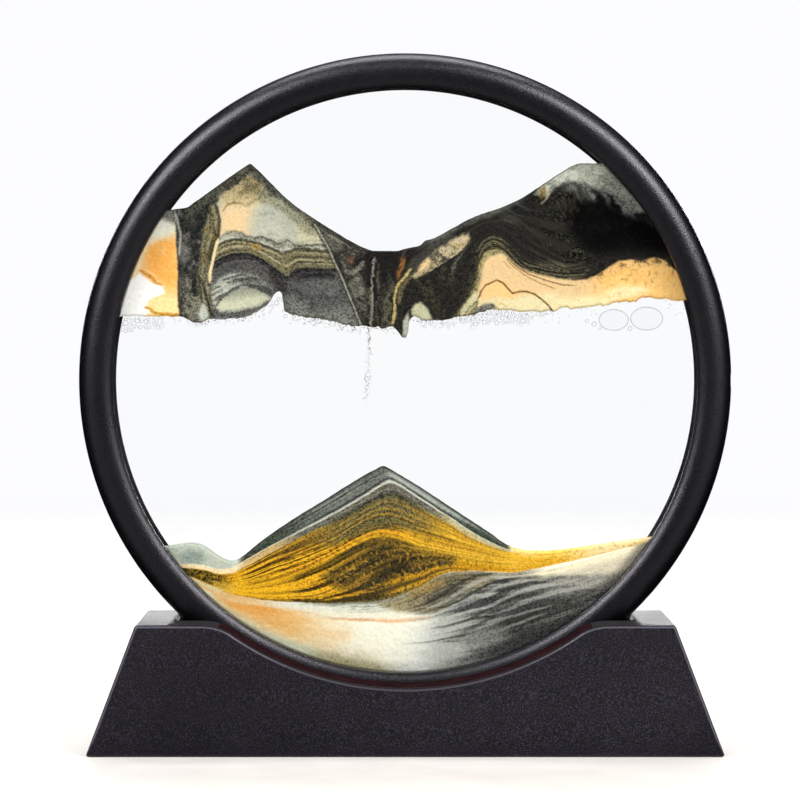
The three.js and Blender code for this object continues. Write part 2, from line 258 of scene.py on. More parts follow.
def moulded_plastic(name, dark, light, rough, grain, depth, speck=0.5, level=0.42, relief=0.14, spread=0.055, plain_shade=None, edge_highlight=None):
    """Spark-textured black plastic: a fine pebble in the surface, and lighter specks on its high points.
    With the last two colours given, only the faces along Y are textured: the rest is smoother and darker, its dark
    colour painted shade;
    the edges are lighter and smoother, the lighter colour a painted highlight that is toned down along the saddle's
    front lip;
    and the top and saddle round the slot, where the disc goes in and out, are dull, their near-black colour painted
    shade."""
    m = Nodes(name)
    p = m.place()
    fine = m.noise(1 / (grain * MM), 2.0, 0.62, p)
    finer = m.noise(2.3 / (grain * MM), 1.0, 0.5, p)
    broad = m.noise(22.0, 3.0, 0.55, p)
    pebble = m.math("ADD", m.math("MULTIPLY", fine, 0.65), m.math("MULTIPLY", finer, 0.35))
    tops = m.ramp(pebble, 0.48, 0.66)
    shade_ = m.math("MULTIPLY", tops, m.ramp(broad, 0.3, 0.7, 0.6 * speck, speck))
    colour = m.mix(shade_, rgba(*dark), rgba(*light))
    roughness = m.math("ADD", m.ramp(broad, 0.3, 0.7, rough - 0.04, rough + 0.05), m.ramp(pebble, 0.35, 0.65, spread, -spread))
    bump = m.add("ShaderNodeBump", {"Strength": depth, "Distance": relief * MM, "Height": pebble})
    if plain_shade:
        along = m.add("ShaderNodeSeparateXYZ", {0: m.add("ShaderNodeTexCoord").outputs["Normal"]}).outputs[1]
        along = m.math("ABSOLUTE", along)
        face = m.ramp(along, 0.72, 0.96)
        # along the fillets of the front and back faces the colour is lighter: a painted highlight; the lower roughness
        # there is real
        edge = m.math("MULTIPLY", m.ramp(along, 0.6, 0.8), m.ramp(along, 0.988, 0.94))
        # faces not along Y, the outer part of the fillets included, take the darker plain colour: painted shade
        smooth = m.mix(m.ramp(broad, 0.3, 0.7), rgba(*plain_shade), rgba(*[c + 4 for c in plain_shade]))
        colour = m.mix(edge, m.mix(face, smooth, colour), rgba(*edge_highlight))
        roughness = m.math("SUBTRACT", roughness, m.math("MULTIPLY", edge, 0.14))
        m.put(bump, "Strength", m.ramp(along, 0.93, 0.995, 0.3 * depth, depth))
        at = m.add("ShaderNodeSeparateXYZ", {0: p})
        over, up = at.outputs[0], m.math("SUBTRACT", at.outputs[2], RING_Z * MM)
        reach = m.math("SQRT", m.math("ADD", m.math("MULTIPLY", over, over), m.math("MULTIPLY", up, up)))
        # along the saddle's front lip the painted edge highlight is toned down towards the dark colour
        lip = m.math("MULTIPLY", edge, m.math("MULTIPLY", m.ramp(reach, 0.0975, 0.0955), m.ramp(up, -0.066, -0.071)))
        colour = m.mix(m.math("MULTIPLY", lip, 0.38), colour, rgba(*dark))
        # round the slot the colour is painted near-black as the ring's shadow and dark reflection; the high roughness
        # there is real
        slot_shade = m.math("MULTIPLY", m.ramp(reach, 0.0925, 0.0885), m.ramp(along, 0.9, 0.55))
        colour = m.mix(slot_shade, colour, rgba(3, 3, 4))
        roughness = m.math("MAXIMUM", roughness, m.math("MULTIPLY", slot_shade, 0.96))
    b = m.principled(Base_Color=colour, Roughness=roughness, Normal=bump.outputs[0])
    b.inputs["Specular IOR Level"].default_value = level
    b.inputs["Specular Tint"].default_value = (0.95, 0.92, 1.0, 1)
    return m.surface(b)


def soft_rubber(name, dark, light, rough, scale, level=0.12):
    m = Nodes(name)
    p = m.place()
    fine = m.noise(1 / (0.35 * MM), 2.0, 0.55, p)
    dust = m.noise(scale, 4.0, 0.6, p)
    colour = m.mix(m.ramp(dust, 0.35, 0.7), rgba(*dark), rgba(*light))
    bump = m.add("ShaderNodeBump", {"Strength": 0.25, "Distance": 0.04 * MM, "Height": fine})
    b = m.principled(Base_Color=colour, Roughness=m.ramp(dust, 0.3, 0.7, rough, rough - 0.12), Normal=bump.outputs[0])
    b.inputs["Specular IOR Level"].default_value = level
    return m.surface(b)


def clear(name, tint, gloss, rough, streak):
    """Clear glass, liquid or air: light goes straight through, and the skin has a weak reflection."""
    m = Nodes(name)
    p = m.place()
    n = m.noise(streak, 3.0, 0.5, p)
    see = m.add("ShaderNodeBsdfTransparent")
    see.inputs["Color"].default_value = tint
    shine = m.add("ShaderNodeBsdfGlossy", {"Roughness": m.ramp(n, 0.3, 0.7, rough, rough * 1.6)})
    shine.inputs["Color"].default_value = (1, 1, 1, 1)
    fres = m.add("ShaderNodeFresnel")
    fres.inputs["IOR"].default_value = 1.45
    fac = m.math("MULTIPLY", fres, m.ramp(n, 0.3, 0.7, gloss * 0.9, gloss))
    return m.surface(m.add("ShaderNodeMixShader", {0: fac, 1: see.outputs[0], 2: shine.outputs[0]}))


def steel(name):
    m = Nodes(name)
    p = m.place()
    n = m.noise(2600.0, 3.0, 0.6, p)
    b = m.principled(
        Base_Color=m.mix(m.ramp(n, 0.3, 0.7), (0.34, 0.35, 0.37, 1), (0.52, 0.53, 0.55, 1)),
        Roughness=m.ramp(n, 0.3, 0.7, 0.26, 0.42),
    )
    b.inputs["Metallic"].default_value = 1.0
    return m.surface(b)


def sealant_like(name, dark, light, rough):
    m = Nodes(name)
    p = m.place()
    n = m.noise(700.0, 3.0, 0.6, p)
    pores = m.add("ShaderNodeTexVoronoi", {"Scale": 2600.0, "Vector": p}).outputs["Distance"]
    bump = m.add("ShaderNodeBump", {"Strength": 0.4, "Distance": 0.05 * MM, "Height": pores})
    b = m.principled(Base_Color=m.mix(m.ramp(n, 0.3, 0.7), rgba(*dark), rgba(*light)), Roughness=m.ramp(n, 0.3, 0.7, rough, rough + 0.1), Normal=bump.outputs[0])
    return m.surface(b)


MAT_RING = moulded_plastic("ring_plastic", (3, 3, 5), (24, 22, 30), 0.33, 0.45, 1.0, 0.9, 0.7, 0.125, 0.1)
# base: the last two colours are painted shade on the faces not along Y and a painted highlight along the edges
MAT_BASE = moulded_plastic("base_plastic", (12, 11, 15), (57, 53, 65), 0.38, 0.42, 1.0, 1.1, 0.36, 0.17, 0.07, (6, 5, 8), (84, 80, 90))
MAT_COVER = moulded_plastic("cover_plastic", (26, 26, 29), (42, 42, 46), 0.6, 0.7, 0.4, 0.6)
MAT_LINER = soft_rubber("liner_rubber", (31, 17, 20), (45, 26, 29), 0.8, 160.0, 0.0)
MAT_RUBBER = soft_rubber("black_rubber", (24, 24, 26), (38, 38, 40), 0.75, 220.0)
MAT_GLASS = clear("clear_glass", (0.997, 0.999, 0.998, 1), 0.15, 0.03, 40.0)
MAT_LIQUID = clear("clear_liquid", (0.9995, 0.9995, 1.0, 1), 0.0, 0.05, 60.0)
MAT_STEEL = steel("screw_steel")
MAT_SPACER = sealant_like("spacer_plastic", (176, 180, 178), (206, 210, 207), 0.35)
MAT_SEAL = sealant_like("sealant", (34, 34, 37), (48, 48, 52), 0.5)
MAT_FOAM = sealant_like("foam", (22, 22, 23), (36, 36, 38), 0.85)


# ---------------------------------------------------------------- ring
def ring_half(name, side):
    """One moulded half of the ring: full inner bevel, round outside, rounded lip and parting edges."""
    a = RING_R - CREST_R
    lip = [(80.3, LIP_Y), (79.72, LIP_Y), (79.52, 4.94), (79.42, 5.02), (79.4, 5.13)]
    a_in, low = CREST_R - 79.4, 5.13
    bevel = [(CREST_R - a_in * math.cos(t) ** 0.92, low + (RING_HALF - low) * math.sin(t)) for t in np.linspace(0.1, 0.5 * math.pi, 22)]
    skin = []
    for t in np.linspace(0.5 * math.pi, 0.03, 34)[1:]:
        r = CREST_R + a * math.cos(t) ** (2 / RING_POWER)
        y = RING_HALF * math.sin(t) ** (2 / RING_POWER)
        if y > 0.42:
            skin.append((r, y))
    seam = [(RING_R - 0.015, 0.36), (RING_R - 0.06, 0.22), (RING_R - 0.16, 0.11), (RING_R - 0.32, PART_GAP)]
    if side < 0:
        key = [(86.9, PART_GAP), (86.9, -1.35), (86.78, -1.5), (86.02, -1.5), (85.9, -1.35), (85.9, PART_GAP)]
    else:
        key = [(87.1, PART_GAP), (87.1, 1.8), (85.7, 1.8), (85.7, PART_GAP)]
    back = [(POCKET_R, PART_GAP), (POCKET_R, LIP_Y)]
    section = [(r, side * y) for r, y in lip + bevel + skin + seam + key + back]
    ob = lathe(name, section, 256)
    hole = lathe(name + "_hole", [(0, 70), (2.6, 70), (2.6, 87.55), (3.25, 87.55), (3.25, 95), (0, 95)], 48, axis="x")
    return shade(boolean(ob, hole), 30)


piece(ring_half("ring_front_half", -1), "disc", ["front_ring"], MAT_RING)
piece(ring_half("ring_rear_half", 1), "disc", ["rear_ring"], MAT_RING)


# ---------------------------------------------------------------- glass cell
def pane(name, y0, y1):
    c = 0.35
    edge = rounded([(0, y0), (GLASS_R, y0), (GLASS_R, y1), (0, y1)], [0, c, c, 0], 4)
    inner = [(20, y0), (40, y0), (60, y0), (75, y0), (82, y0)]
    section = [tuple(edge[0])] + inner + [tuple(p) for p in edge[1:-1]] + [(r, y1) for r, _ in reversed(inner)] + [tuple(edge[-1])]
    return shade(lathe(name, section, 192), 40)


piece(pane("glass_front", -GLASS_OUT, -GLASS_IN), "disc", ["front_glass"], MAT_GLASS)
piece(pane("glass_rear", GLASS_IN, GLASS_OUT), "disc", ["rear_glass"], MAT_GLASS)


def band(name, r0, r1, y0, y1, r=0.12, segments=192):
    return lathe(name, rounded([(r0, y0), (r1, y0), (r1, y1), (r0, y1)], r, 3), segments)


spacer = band("cell_spacer", 80.6, 83.4, -1.65, 1.65, 0.35)
spacer = boolean(spacer, lathe("spacer_hole", [(0, 70), (1.0, 70), (1.0, 95), (0, 95)], 32, axis="x"))
piece(shade(spacer, 35), "disc", ["spacer_ring"], MAT_SPACER)
piece(shade(band("cell_seal_front", 80.8, 83.2, -1.95, -1.7, 0.08)), "disc", ["front_seal"], MAT_SEAL)
piece(shade(band("cell_seal_rear", 80.8, 83.2, 1.7, 1.95, 0.08)), "disc", ["rear_seal"], MAT_SEAL)
piece(shade(band("foam_gasket_front", 79.9, 83.6, -4.85, -4.55, 0.1)), "disc", ["front_gasket"], MAT_FOAM)
piece(shade(band("foam_gasket_rear", 79.9, 83.6, 4.55, 4.85, 0.1)), "disc", ["rear_gasket"], MAT_FOAM)

stopper = rounded([(0, 80.9), (0.85, 80.9), (0.85, 83.65), (2.2, 83.65), (2.2, 84.9), (0, 84.9)], [0, 0.25, 0.12, 0.2, 0.35, 0], 4)
piece(shade(lathe("port_stopper", stopper, 40, axis="x"), 35), "disc", ["fill_stopper"], MAT_RUBBER)

plug = rounded([(0, 85.3), (2.4, 85.3), (2.4, 87.65), (3.0, 87.65), (2.9, 88.55), (0, 88.55)], [0, 0.4, 0.1, 0.15, 0.35, 0], 5)
plug = lathe("port_plug", plug, 64, axis="x")
slot = lathe("plug_slot", rounded([(0, 88.15), (2.1, 88.15), (2.1, 90), (0, 90)], [0, 0.15, 0, 0], 3), 40, axis="x")
slot.data.transform(Matrix.Translation((0, 0, RING_Z * MM)) @ Matrix.Diagonal((1, 1, 0.19, 1)) @ Matrix.Translation((0, 0, -RING_Z * MM)))
piece(shade(boolean(plug, slot), 35), "plug", ["fill_plug"], MAT_RUBBER)


# ---------------------------------------------------------------- base
FILLET = 0.9
SIDE_SLOPE = (BASE_W - BASE_W_TOP) / 2 / (BASE_H - BASE_FOOT)
FACE_SLOPE = (BASE_D - BASE_D_TOP) / 2 / (BASE_H - BASE_FOOT)
TOP_AT = math.sqrt(SADDLE_R**2 - (RING_Z - BASE_H) ** 2)


def shoulder(steps):
    """The rounded shoulder on the right, from the top down to the saddle: [x, z]."""
    angle = math.asin((TOP_AT - 5.2 * 0.62) / SADDLE_R)
    p0 = np.array([TOP_AT + 5.2, BASE_H])
    p1 = np.array([TOP_AT + 0.2, BASE_H])
    p2 = np.array([SADDLE_R * math.sin(angle), RING_Z - SADDLE_R * math.cos(angle)])
    t = np.linspace(0, 1, steps)[:, None]
    return (1 - t) ** 2 * p0 + 2 * t * (1 - t) * p1 + t * t * p2, angle


def base_front():
    """The front outline, anticlockwise from the lower left: [x, z]."""
    w0, w1 = BASE_W / 2, BASE_W_TOP / 2
    corners = rounded([(-w0, BASE_FOOT), (w0, BASE_FOOT), (w1, BASE_H), (-w1, BASE_H)], [0.45, 0.45, 1.15, 1.15], 7)
    right, angle = shoulder(14)
    arc = np.linspace(angle, -angle, 141)[1:-1]
    saddle = np.stack([SADDLE_R * np.sin(arc), RING_Z - SADDLE_R * np.cos(arc)], -1)
    left = right[::-1] * [-1, 1]
    low, top_right, top_left = corners[:16], corners[16:24], corners[24:]
    rise = lambda a, b, n: [a + (b - a) * k / n for k in range(1, n)]
    return np.concatenate(
        [
            low[:8],
            rise(low[7], low[8], 40),
            low[8:],
            rise(low[15], top_right[0], 8),
            top_right,
            right,
            saddle,
            left,
            top_left,
            rise(top_left[-1], low[0], 8),
        ]
    )


def inset(outline, by):
    """The outline moved inwards along each corner's bisector."""
    e = np.roll(outline, -1, 0) - outline
    n = np.stack([-e[:, 1], e[:, 0]], -1) / np.linalg.norm(e, axis=1)[:, None]
    m = n + np.roll(n, 1, 0)
    m /= np.linalg.norm(m, axis=1)[:, None]
    scale = 1 / np.maximum((m * n).sum(1), 0.5)
    return outline + m * (np.asarray(by) * scale)[:, None]


def base_block():
    outline = base_front()
    n = len(outline)
    half = lambda z: BASE_D / 2 - FACE_SLOPE * (z - BASE_FOOT)
    # the rounding runs out towards the foot, where the edge is almost sharp
    soft = 0.3 + 0.7 * np.clip((outline[:, 1] - BASE_FOOT - 0.5) / 5.0, 0, 1)
    rings = []
    for side in (-1, 1):
        these = [(FILLET + 0.12, 0.0)] + [(FILLET * (1 - math.sin(t)), FILLET * (1 - math.cos(t))) for t in np.linspace(0, math.pi / 2, 9)]
        loops = []
        for by, back in these:
            p = inset(outline, by * soft)
            loops.append(np.stack([p[:, 0], side * (half(p[:, 1]) - back * soft), p[:, 1]], -1))
        rings += loops if side < 0 else loops[::-1]
    verts = np.concatenate(rings)
    faces = []
    for i in range(len(rings) - 1):
        for k in range(n):
            l = (k + 1) % n
            faces.append((i * n + k, i * n + l, (i + 1) * n + l, (i + 1) * n + k))
    faces.append(tuple(range(n)))
    faces.append(tuple((len(rings) - 1) * n + k for k in range(n)))
    return outward(link("base_casing", mesh_of("base_casing", verts, faces)))


def drum(name, radius, half, segments=360):
    """A solid disc round the ring's axis."""
    return lathe(name, [(0, -half), (radius, -half), (radius, half), (0, half)], segments)


def prism(name, outline, y0, y1):
    """An [x, z] outline with thickness along Y."""
    p = np.asarray(outline, float)
    n = len(p)
    verts = np.concatenate([np.stack([p[:, 0], np.full(n, y), p[:, 1]], -1) for y in (y0, y1)])
    faces = [(k, (k + 1) % n, n + (k + 1) % n, n + k) for k in range(n)]
    faces += [tuple(range(n)), tuple(range(2 * n - 1, n - 1, -1))]
    return outward(link(name, mesh_of(name, verts, faces)))


def frustum(name, inset_by, z0, z1):
    """The base's own tapered block, moved in by a wall."""
    w = lambda z: BASE_W / 2 - SIDE_SLOPE * (z - BASE_FOOT) - inset_by
    d = lambda z: BASE_D / 2 - FACE_SLOPE * (z - BASE_FOOT) - inset_by
    verts = [(sx * w(z), sy * d(z), z) for z in (z0, z1) for sx, sy in ((-1, -1), (1, -1), (1, 1), (-1, 1))]
    faces = [(0, 1, 2, 3), (4, 5, 6, 7), (0, 1, 5, 4), (1, 2, 6, 5), (2, 3, 7, 6), (3, 0, 4, 7)]
    return outward(link(name, mesh_of(name, verts, faces)))


BOSSES = [(-58, -15), (58, -15), (58, 15), (-58, 15)]
PADS = [(-71, -13.5), (71, -13.5), (71, 13.5), (-71, 13.5)]

base = base_block()
base = boolean(base, drum("bed", BED_R, BED_Y))
base = boolean(base, drum("ring_slot", SLOT_R, SLOT_HALF))
hollow = frustum("hollow", WALL, BASE_FOOT - 0.6, BASE_H - WALL)
hollow = boolean(hollow, drum("under_bed", BED_R + WALL, 60, 240))
hollow = boolean(hollow, drum("under_slot", SLOT_R + WALL, SLOT_HALF + WALL, 240))
base = boolean(base, hollow)
for k, (x, y) in enumerate(BOSSES):
    base = boolean(base, lathe("boss", [(0, 3.0), (3.3, 3.0), (3.3, 33.0), (0, 33.0)], 40, axis="z", centre=(x, y, 0)), "UNION")
    base = boolean(base, lathe("pilot", [(0, 1.9), (1.3, 1.9), (1.3, 14.0), (0, 14.0)], 32, axis="z", centre=(x, y, 0)))
piece(shade(base, 22), "base", ["base_shell"], MAT_BASE)

# soft channel in the saddle: shoulders, slot walls and slot floor
s0, s1, f0, f1, w0, w1 = 81.8, 82.6, 89.4, 90.2, 8.0, 8.8
channel = rounded(
    [(s0, -21.3), (s1, -21.3), (s1, -w1), (f1, -w1), (f1, w1), (s1, w1), (s1, 21.3), (s0, 21.3), (s0, w0), (f0, w0), (f0, -w0), (s0, -w0)],
    [0.3, 0.1, 0, 0.3, 0.3, 0, 0.1, 0.3, 0.35, 0.3, 0.3, 0.35],
    4,
)
liner = lathe("saddle_liner", channel, 181, arc=(-52, 52))
liner = boolean(liner, prism("above", [(-120, 34.3), (120, 34.3), (120, 80), (-120, 80)], -60, 60))
for sx in (-1, 1):
    over, _ = shoulder(14)
    over = np.concatenate([over, [(over[-1][0] - 1, BASE_H + 3), (over[0][0], BASE_H + 3)]]) * [sx, 1]
    liner = boolean(liner, prism("over", over, -60, 60))
piece(shade(liner, 30), "base", ["cradle_liner"], MAT_LINER)


# underside: cover, screws and pads
def plate(name, half_x, half_y, z0, z1, corner, edge):
    outline = rounded([(-half_x, -half_y), (half_x, -half_y), (half_x, half_y), (-half_x, half_y)], corner, 6)
    n = len(outline)
    levels = [(edge, z0), (edge * 0.3, z0 + edge * 0.3), (0, z0 + edge), (0, z1 - edge), (edge * 0.3, z1 - edge * 0.3), (edge, z1)]
    verts = np.concatenate([np.column_stack([inset(outline, by), np.full(n, z)]) for by, z in levels])
    faces = [(i * n + k, i * n + (k + 1) % n, (i + 1) * n + (k + 1) % n, (i + 1) * n + k) for i in range(len(levels) - 1) for k in range(n)]
    faces += [tuple(range(n)), tuple((len(levels) - 1) * n + k for k in range(n))]
    return outward(link(name, mesh_of(name, verts, faces)))


cover = plate("underside_cover", 80.9, 21.0, 0.9, 2.9, 2.5, 0.3)
for x, y in BOSSES:
    cover = boolean(cover, lathe("sink", [(0, 0), (2.95, 0.0), (2.95, 0.9), (1.5, 2.4), (1.5, 5.0), (0, 5.0)], 40, axis="z", centre=(x, y, 0)))
for x, y in PADS:
    cover = boolean(cover, lathe("seat", [(0, 0), (5.2, 0), (5.2, 1.5), (0, 1.5)], 48, axis="z", centre=(x, y, 0)))
piece(shade(cover, 25), "base", ["bottom_cover"], MAT_COVER)


def screw(name, x, y):
    """A countersunk self-tapping screw, point up: head, cross recess and a rolled thread."""
    around, pitch, low, high = 36, 1.1, 2.5, 12.9
    z = np.concatenate([[1.0, 1.0, 1.12, 2.4], np.linspace(low, high, 88)])
    verts, n = [], around
    for i, h in enumerate(z):
        for k in range(n):
            a = 2 * math.pi * k / n
            if i == 0:
                r = 0.0
            elif i < 4:
                r = (2.45, 2.6, 1.0)[i - 1]
            else:
                phase = (h / pitch - k / n) % 1.0
                ridge = max(0.0, 1 - abs(phase - 0.5) / 0.24)
                taper = min(1.0, max(0.0, (high - h) / 1.9))
                start = min(1.0, (h - low) / 0.9)
                r = (0.86 + 0.27 * ridge * start) * taper**0.8
            verts.append((x + r * math.sin(a), y + r * math.cos(a), h))
    faces = [(i * n + k, i * n + (k + 1) % n, (i + 1) * n + (k + 1) % n, (i + 1) * n + k) for i in range(len(z) - 1) for k in range(n)]
    ob = outward(link(name, mesh_of(name, verts, faces)))
    for wide, deep in ((1.5, 0.28), (0.28, 1.5)):
        cross = [(x + sx * wide * s, y + sy * deep * s, h) for s, h in ((1.0, 0.2), (0.8, 1.75)) for sx, sy in ((-1, -1), (1, -1), (1, 1), (-1, 1))]
        faces = [(0, 1, 2, 3), (4, 5, 6, 7), (0, 1, 5, 4), (1, 2, 6, 5), (2, 3, 7, 6), (3, 0, 4, 7)]
        ob = boolean(ob, outward(link("cross", mesh_of("cross", cross, faces))))
    return shade(ob, 40)


WHERE = ["front_left", "front_right", "rear_right", "rear_left"]
for k, (x, y) in enumerate(BOSSES):
    piece(screw("screw_" + WHERE[k], x, y), "base", ["cover_screw_%d" % (k + 1)], MAT_STEEL)
for k, (x, y) in enumerate(PADS):
    section = [(0, 0.12), (1.2, 0.12), (1.5, 0.0), (2.2, 0.0), (2.5, 0.12), (3.0, 0.12), (3.3, 0.0), (4.5, 0.0), (4.72, 0.06), (4.82, 0.22), (4.95, 1.2), (4.9, 1.33), (4.75, 1.4), (0, 1.4)]
    pad = lathe("foot_" + WHERE[k], section, 64, axis="z", centre=(x, y, 0))
    piece(shade(pad, 35), "base", ["foot_pad_%d" % (k + 1)], MAT_RUBBER)


# ---------------------------------------------------------------- small toolbox
def _hash(ix, iy, seed):
    n = (ix * 374761393 + iy * 668265263 + seed * 974634777) & 0xFFFFFFFF
    n = ((n ^ (n >> 13)) * 1274126177) & 0xFFFFFFFF
    n = ((n ^ (n >> 15)) * 2246822519) & 0xFFFFFFFF
    return ((n ^ (n >> 16)) & 0xFFFF) / 65535.0

def noise(x, y, seed):
    """Smooth value noise in 0..1 on a unit lattice."""
    fx, fy = np.floor(x), np.floor(y)
    ix, iy = fx.astype(np.int64), fy.astype(np.int64)
    u, v = x - fx, y - fy
    u, v = u * u * u * (u * (u * 6 - 15) + 10), v * v * v * (v * (v * 6 - 15) + 10)
    a, b = _hash(ix, iy, seed), _hash(ix + 1, iy, seed)
    c, d = _hash(ix, iy + 1, seed), _hash(ix + 1, iy + 1, seed)
    return (a * (1 - u) + b * u) * (1 - v) + (c * (1 - u) + d * u) * v

def fbm(x, y, seed, octaves=3, gain=0.5):
    total, amp, norm = 0.0, 1.0, 0.0
    for k in range(octaves):
        total = total + amp * noise(x * 2.03**k + 17.1 * k, y * 2.03**k + 9.7 * k, seed + 31 * k)
        norm += amp
        amp *= gain
    return total / norm

def step(a, b, x):
    t = np.clip((x - a) / (b - a), 0, 1)
    return t * t * (3 - 2 * t)

def bump(x, centre, half):
    return step(-1, 0, -np.abs((x - centre) / half))

def curve(xq, points):
    """A smooth curve y(x) through given points (limited cubic)."""
    p = np.array(points, float)
    x, y = p[:, 0], p[:, 1]
    h = np.diff(x)
    s = np.diff(y) / h
    m = np.zeros_like(y)
    m[1:-1] = np.where(s[:-1] * s[1:] > 0, 2 * s[:-1] * s[1:] / np.where(s[:-1] + s[1:] == 0, 1, s[:-1] + s[1:]), 0)
    m[0], m[-1] = s[0], s[-1]
    q = np.clip(xq, x[0], x[-1])
    i = np.clip(np.searchsorted(x, q) - 1, 0, len(h) - 1)
    t = (q - x[i]) / h[i]
    t2, t3 = t * t, t * t * t
    return (2 * t3 - 3 * t2 + 1) * y[i] + (t3 - 2 * t2 + t) * h[i] * m[i] + (-2 * t3 + 3 * t2) * y[i + 1] + (t3 - t2) * h[i] * m[i + 1]

def off_line(X, Y, points):
    """Distance to an open line, and how far along it (0..1)."""
    p = np.array(points, float)
    seg = np.diff(p, axis=0)
    length = np.hypot(seg[:, 0], seg[:, 1])
    start = np.concatenate([[0], np.cumsum(length)])
    best = np.full(X.shape, 1e9)
    along = np.zeros(X.shape)
    for k in range(len(seg)):
        t = np.clip(((X - p[k, 0]) * seg[k, 0] + (Y - p[k, 1]) * seg[k, 1]) / max(length[k] ** 2, 1e-9), 0, 1)
        d = np.hypot(X - p[k, 0] - t * seg[k, 0], Y - p[k, 1] - t * seg[k, 1])
        near = d < best
        best = np.where(near, d, best)
        along = np.where(near, (start[k] + t * length[k]) / start[-1], along)
    return best, along

def off_patch(X, Y, points):
    """Signed distance to a closed patch, negative inside."""
    p = list(points) + [points[0]]
    d, _ = off_line(X, Y, p)
    inside = np.zeros(X.shape, bool)
    for (x0, y0), (x1, y1) in zip(p[:-1], p[1:]):
        if y0 == y1:
            continue
        cross = ((Y < y0) != (Y < y1)) & (X < x0 + (Y - y0) * (x1 - x0) / (y1 - y0))
        inside ^= cross
    return np.where(inside, -d, d)

class Grains:
    """Two grain colours and the share of the second one, at each point."""
    def __init__(self, X, colour, other, share):
        self.a = np.empty(X.shape + (3,)); self.a[:] = colour
        self.b = np.empty(X.shape + (3,)); self.b[:] = other
        self.p = np.full(X.shape, float(share))
    def lay(self, mask, colour, other=None, share=None):
        m = np.clip(mask, 0, 1)
        self.a += (np.array(colour, float) - self.a) * m[..., None]
        if other is not None:
            self.b += (np.array(other, float) - self.b) * m[..., None]
        if share is not None:
            self.p += (share - self.p) * m
    def soften(self):
        """Pale sand has grains of nearly one colour."""
        light = step(110, 190, self.a.mean(-1))[..., None]
        self.b += (self.a - self.b) * 0.55 * light
        return self

# ---------------------------------------------------------------- palette
BLACK = (20, 19, 20)
COAL = (38, 36, 38)
SLATE = (92, 92, 94)
GREY = (146, 148, 143)
PALE = (205, 210, 199)
WHITE = (240, 241, 234)
CREAM = (250, 238, 208)
PEACH = (247, 200, 134)
ORANGE = (244, 166, 72)
GOLD = (228, 166, 22)
AMBER = (196, 130, 24)
BROWN = (92, 62, 24)
OLIVE = (104, 98, 64)
SAGE = (176, 188, 174)

# ---------------------------------------------------------------- lower hill
LOW_TOP = [(160,547),(169,546),(180,544.6),(191,543),(199,544.2),(206,547.4),(212,551.4),(218,556),(225,559.6),(231,561.4),(237,560.3),(243,556.5),(263,540.5),(290,521.8),(324,500.8),(356,480.8),(378,468.6),(383.5,466.2),(389,468.5),(400,475),(423,489),(445,503.5),(467,518),(490,533),(508,545.5),(518,549),(530,551),(545,551.4),(560,550.4),(575,548.4),(597,545.2),(618,542.2),(648,538),(660,536)]
LOW_LINE = [(160,563),(183,564.5),(205,566.5),(219,569.5),(231,568.4),(240,563.4),(250,557.4),(274,544.2),(308,526.6),(339,510.2),(359,498.6),(376,487.6),(390,480),(398,483),(410,490.5),(430,504),(450,517.4),(470,530),(490,541),(506,548.6),(518,551),(530,552.4),(560,551.8),(597,546.6),(648,539.4),(660,537)]
LOW_GREY = [(160,566),(183,568),(205,570.5),(219,573.5),(231,573),(243,567.5),(255,561),(275,550.5),(306,535),(341,518),(359,508),(372,500),(383,494.4),(392,492.6),(402,495.6),(412,501.4),(430,512.6),(450,525),(470,536.4),(490,545.4),(506,551.2),(520,553.2),(545,553.6),(570,552),(597,548.2),(648,541),(660,538)]
LOW_ARC1 = [(160,568),(185,571.5),(200,575.5),(212,578.5),(225,581),(245,577.5),(274,566.6),(300,558),(325,549),(345,537.6),(359,529.4),(370,524.2),(381,520.6),(389,520.2),(396,522),(410,526.5),(425,532),(440,536.5),(454,540),(482,547),(510,554.5),(535,555.6),(560,553.5),(597,549.4),(648,541.1),(660,538.2)]
LOW_ARC2 = [(160,569.5),(185,573.4),(200,579),(212,583),(225,586.4),(245,587),(260,585),(285,578.6),(310,569.4),(330,560),(350,549.4),(362,543.4),(372,539.6),(382,537.8),(392,538.6),(402,541.4),(412,545),(425,549),(450,553.5),(480,557.5),(510,561),(540,559.2),(570,555.6),(597,550.8),(648,541.3),(660,538.4)]
LOW_LENS = [(160,570.8),(185,575),(200,581.4),(212,586),(225,590),(247,594.4),(260,596),(280,597.6),(300,597.4),(320,594.4),(335,589.4),(350,581.6),(362,574),(375,566.4),(385,561.4),(395,557.6),(410,554.6),(430,554.4),(445,556),(454,557.6),(470,561.4),(490,565),(514,566.4),(530,564),(550,560.4),(570,556.6),(590,552.6),(620,545.9),(648,541.35),(660,538.6)]
LOW_GOLD = [(160,572),(185,576),(200,583),(212,588),(225,592.4),(247,597),(271,600.4),(306,602.4),(341,602.8),(370,602.2),(390,599),(405,594.5),(415,590.5),(424,585.5),(432,580),(441,575.2),(454,571.6),(474,570.2),(494,571.8),(514,572.4),(530,570.4),(550,566.6),(570,562.2),(590,557.2),(620,549.2),(648,542.4),(660,539.4)]
LOW_PALE = [(160,576),(190,583),(207,589.5),(225,596),(250,601.5),(280,606),(306,608.6),(340,610.5),(370,611),(395,608),(410,604),(422,599),(434,591.5),(446,586),(460,582.5),(490,581.2),(520,579),(550,573.4),(590,564),(620,555),(648,546),(660,543)]
LOW_PEACH = [(160,586),(200,598),(212,604),(230,611),(262,616),(306,619.4),(340,621.5),(370,622.4),(400,622.6),(420,620),(450,612),(480,603.5),(520,596.5),(560,588),(600,577),(640,563),(660,556)]
LOW_CREAM = [(160,604),(200,612),(235,627),(270,641),(306,650),(340,654),(380,655),(420,653),(460,648),(500,640),(540,628),(580,612),(620,592),(660,572)]
LOW_BED = [(160,700),(660,700)]


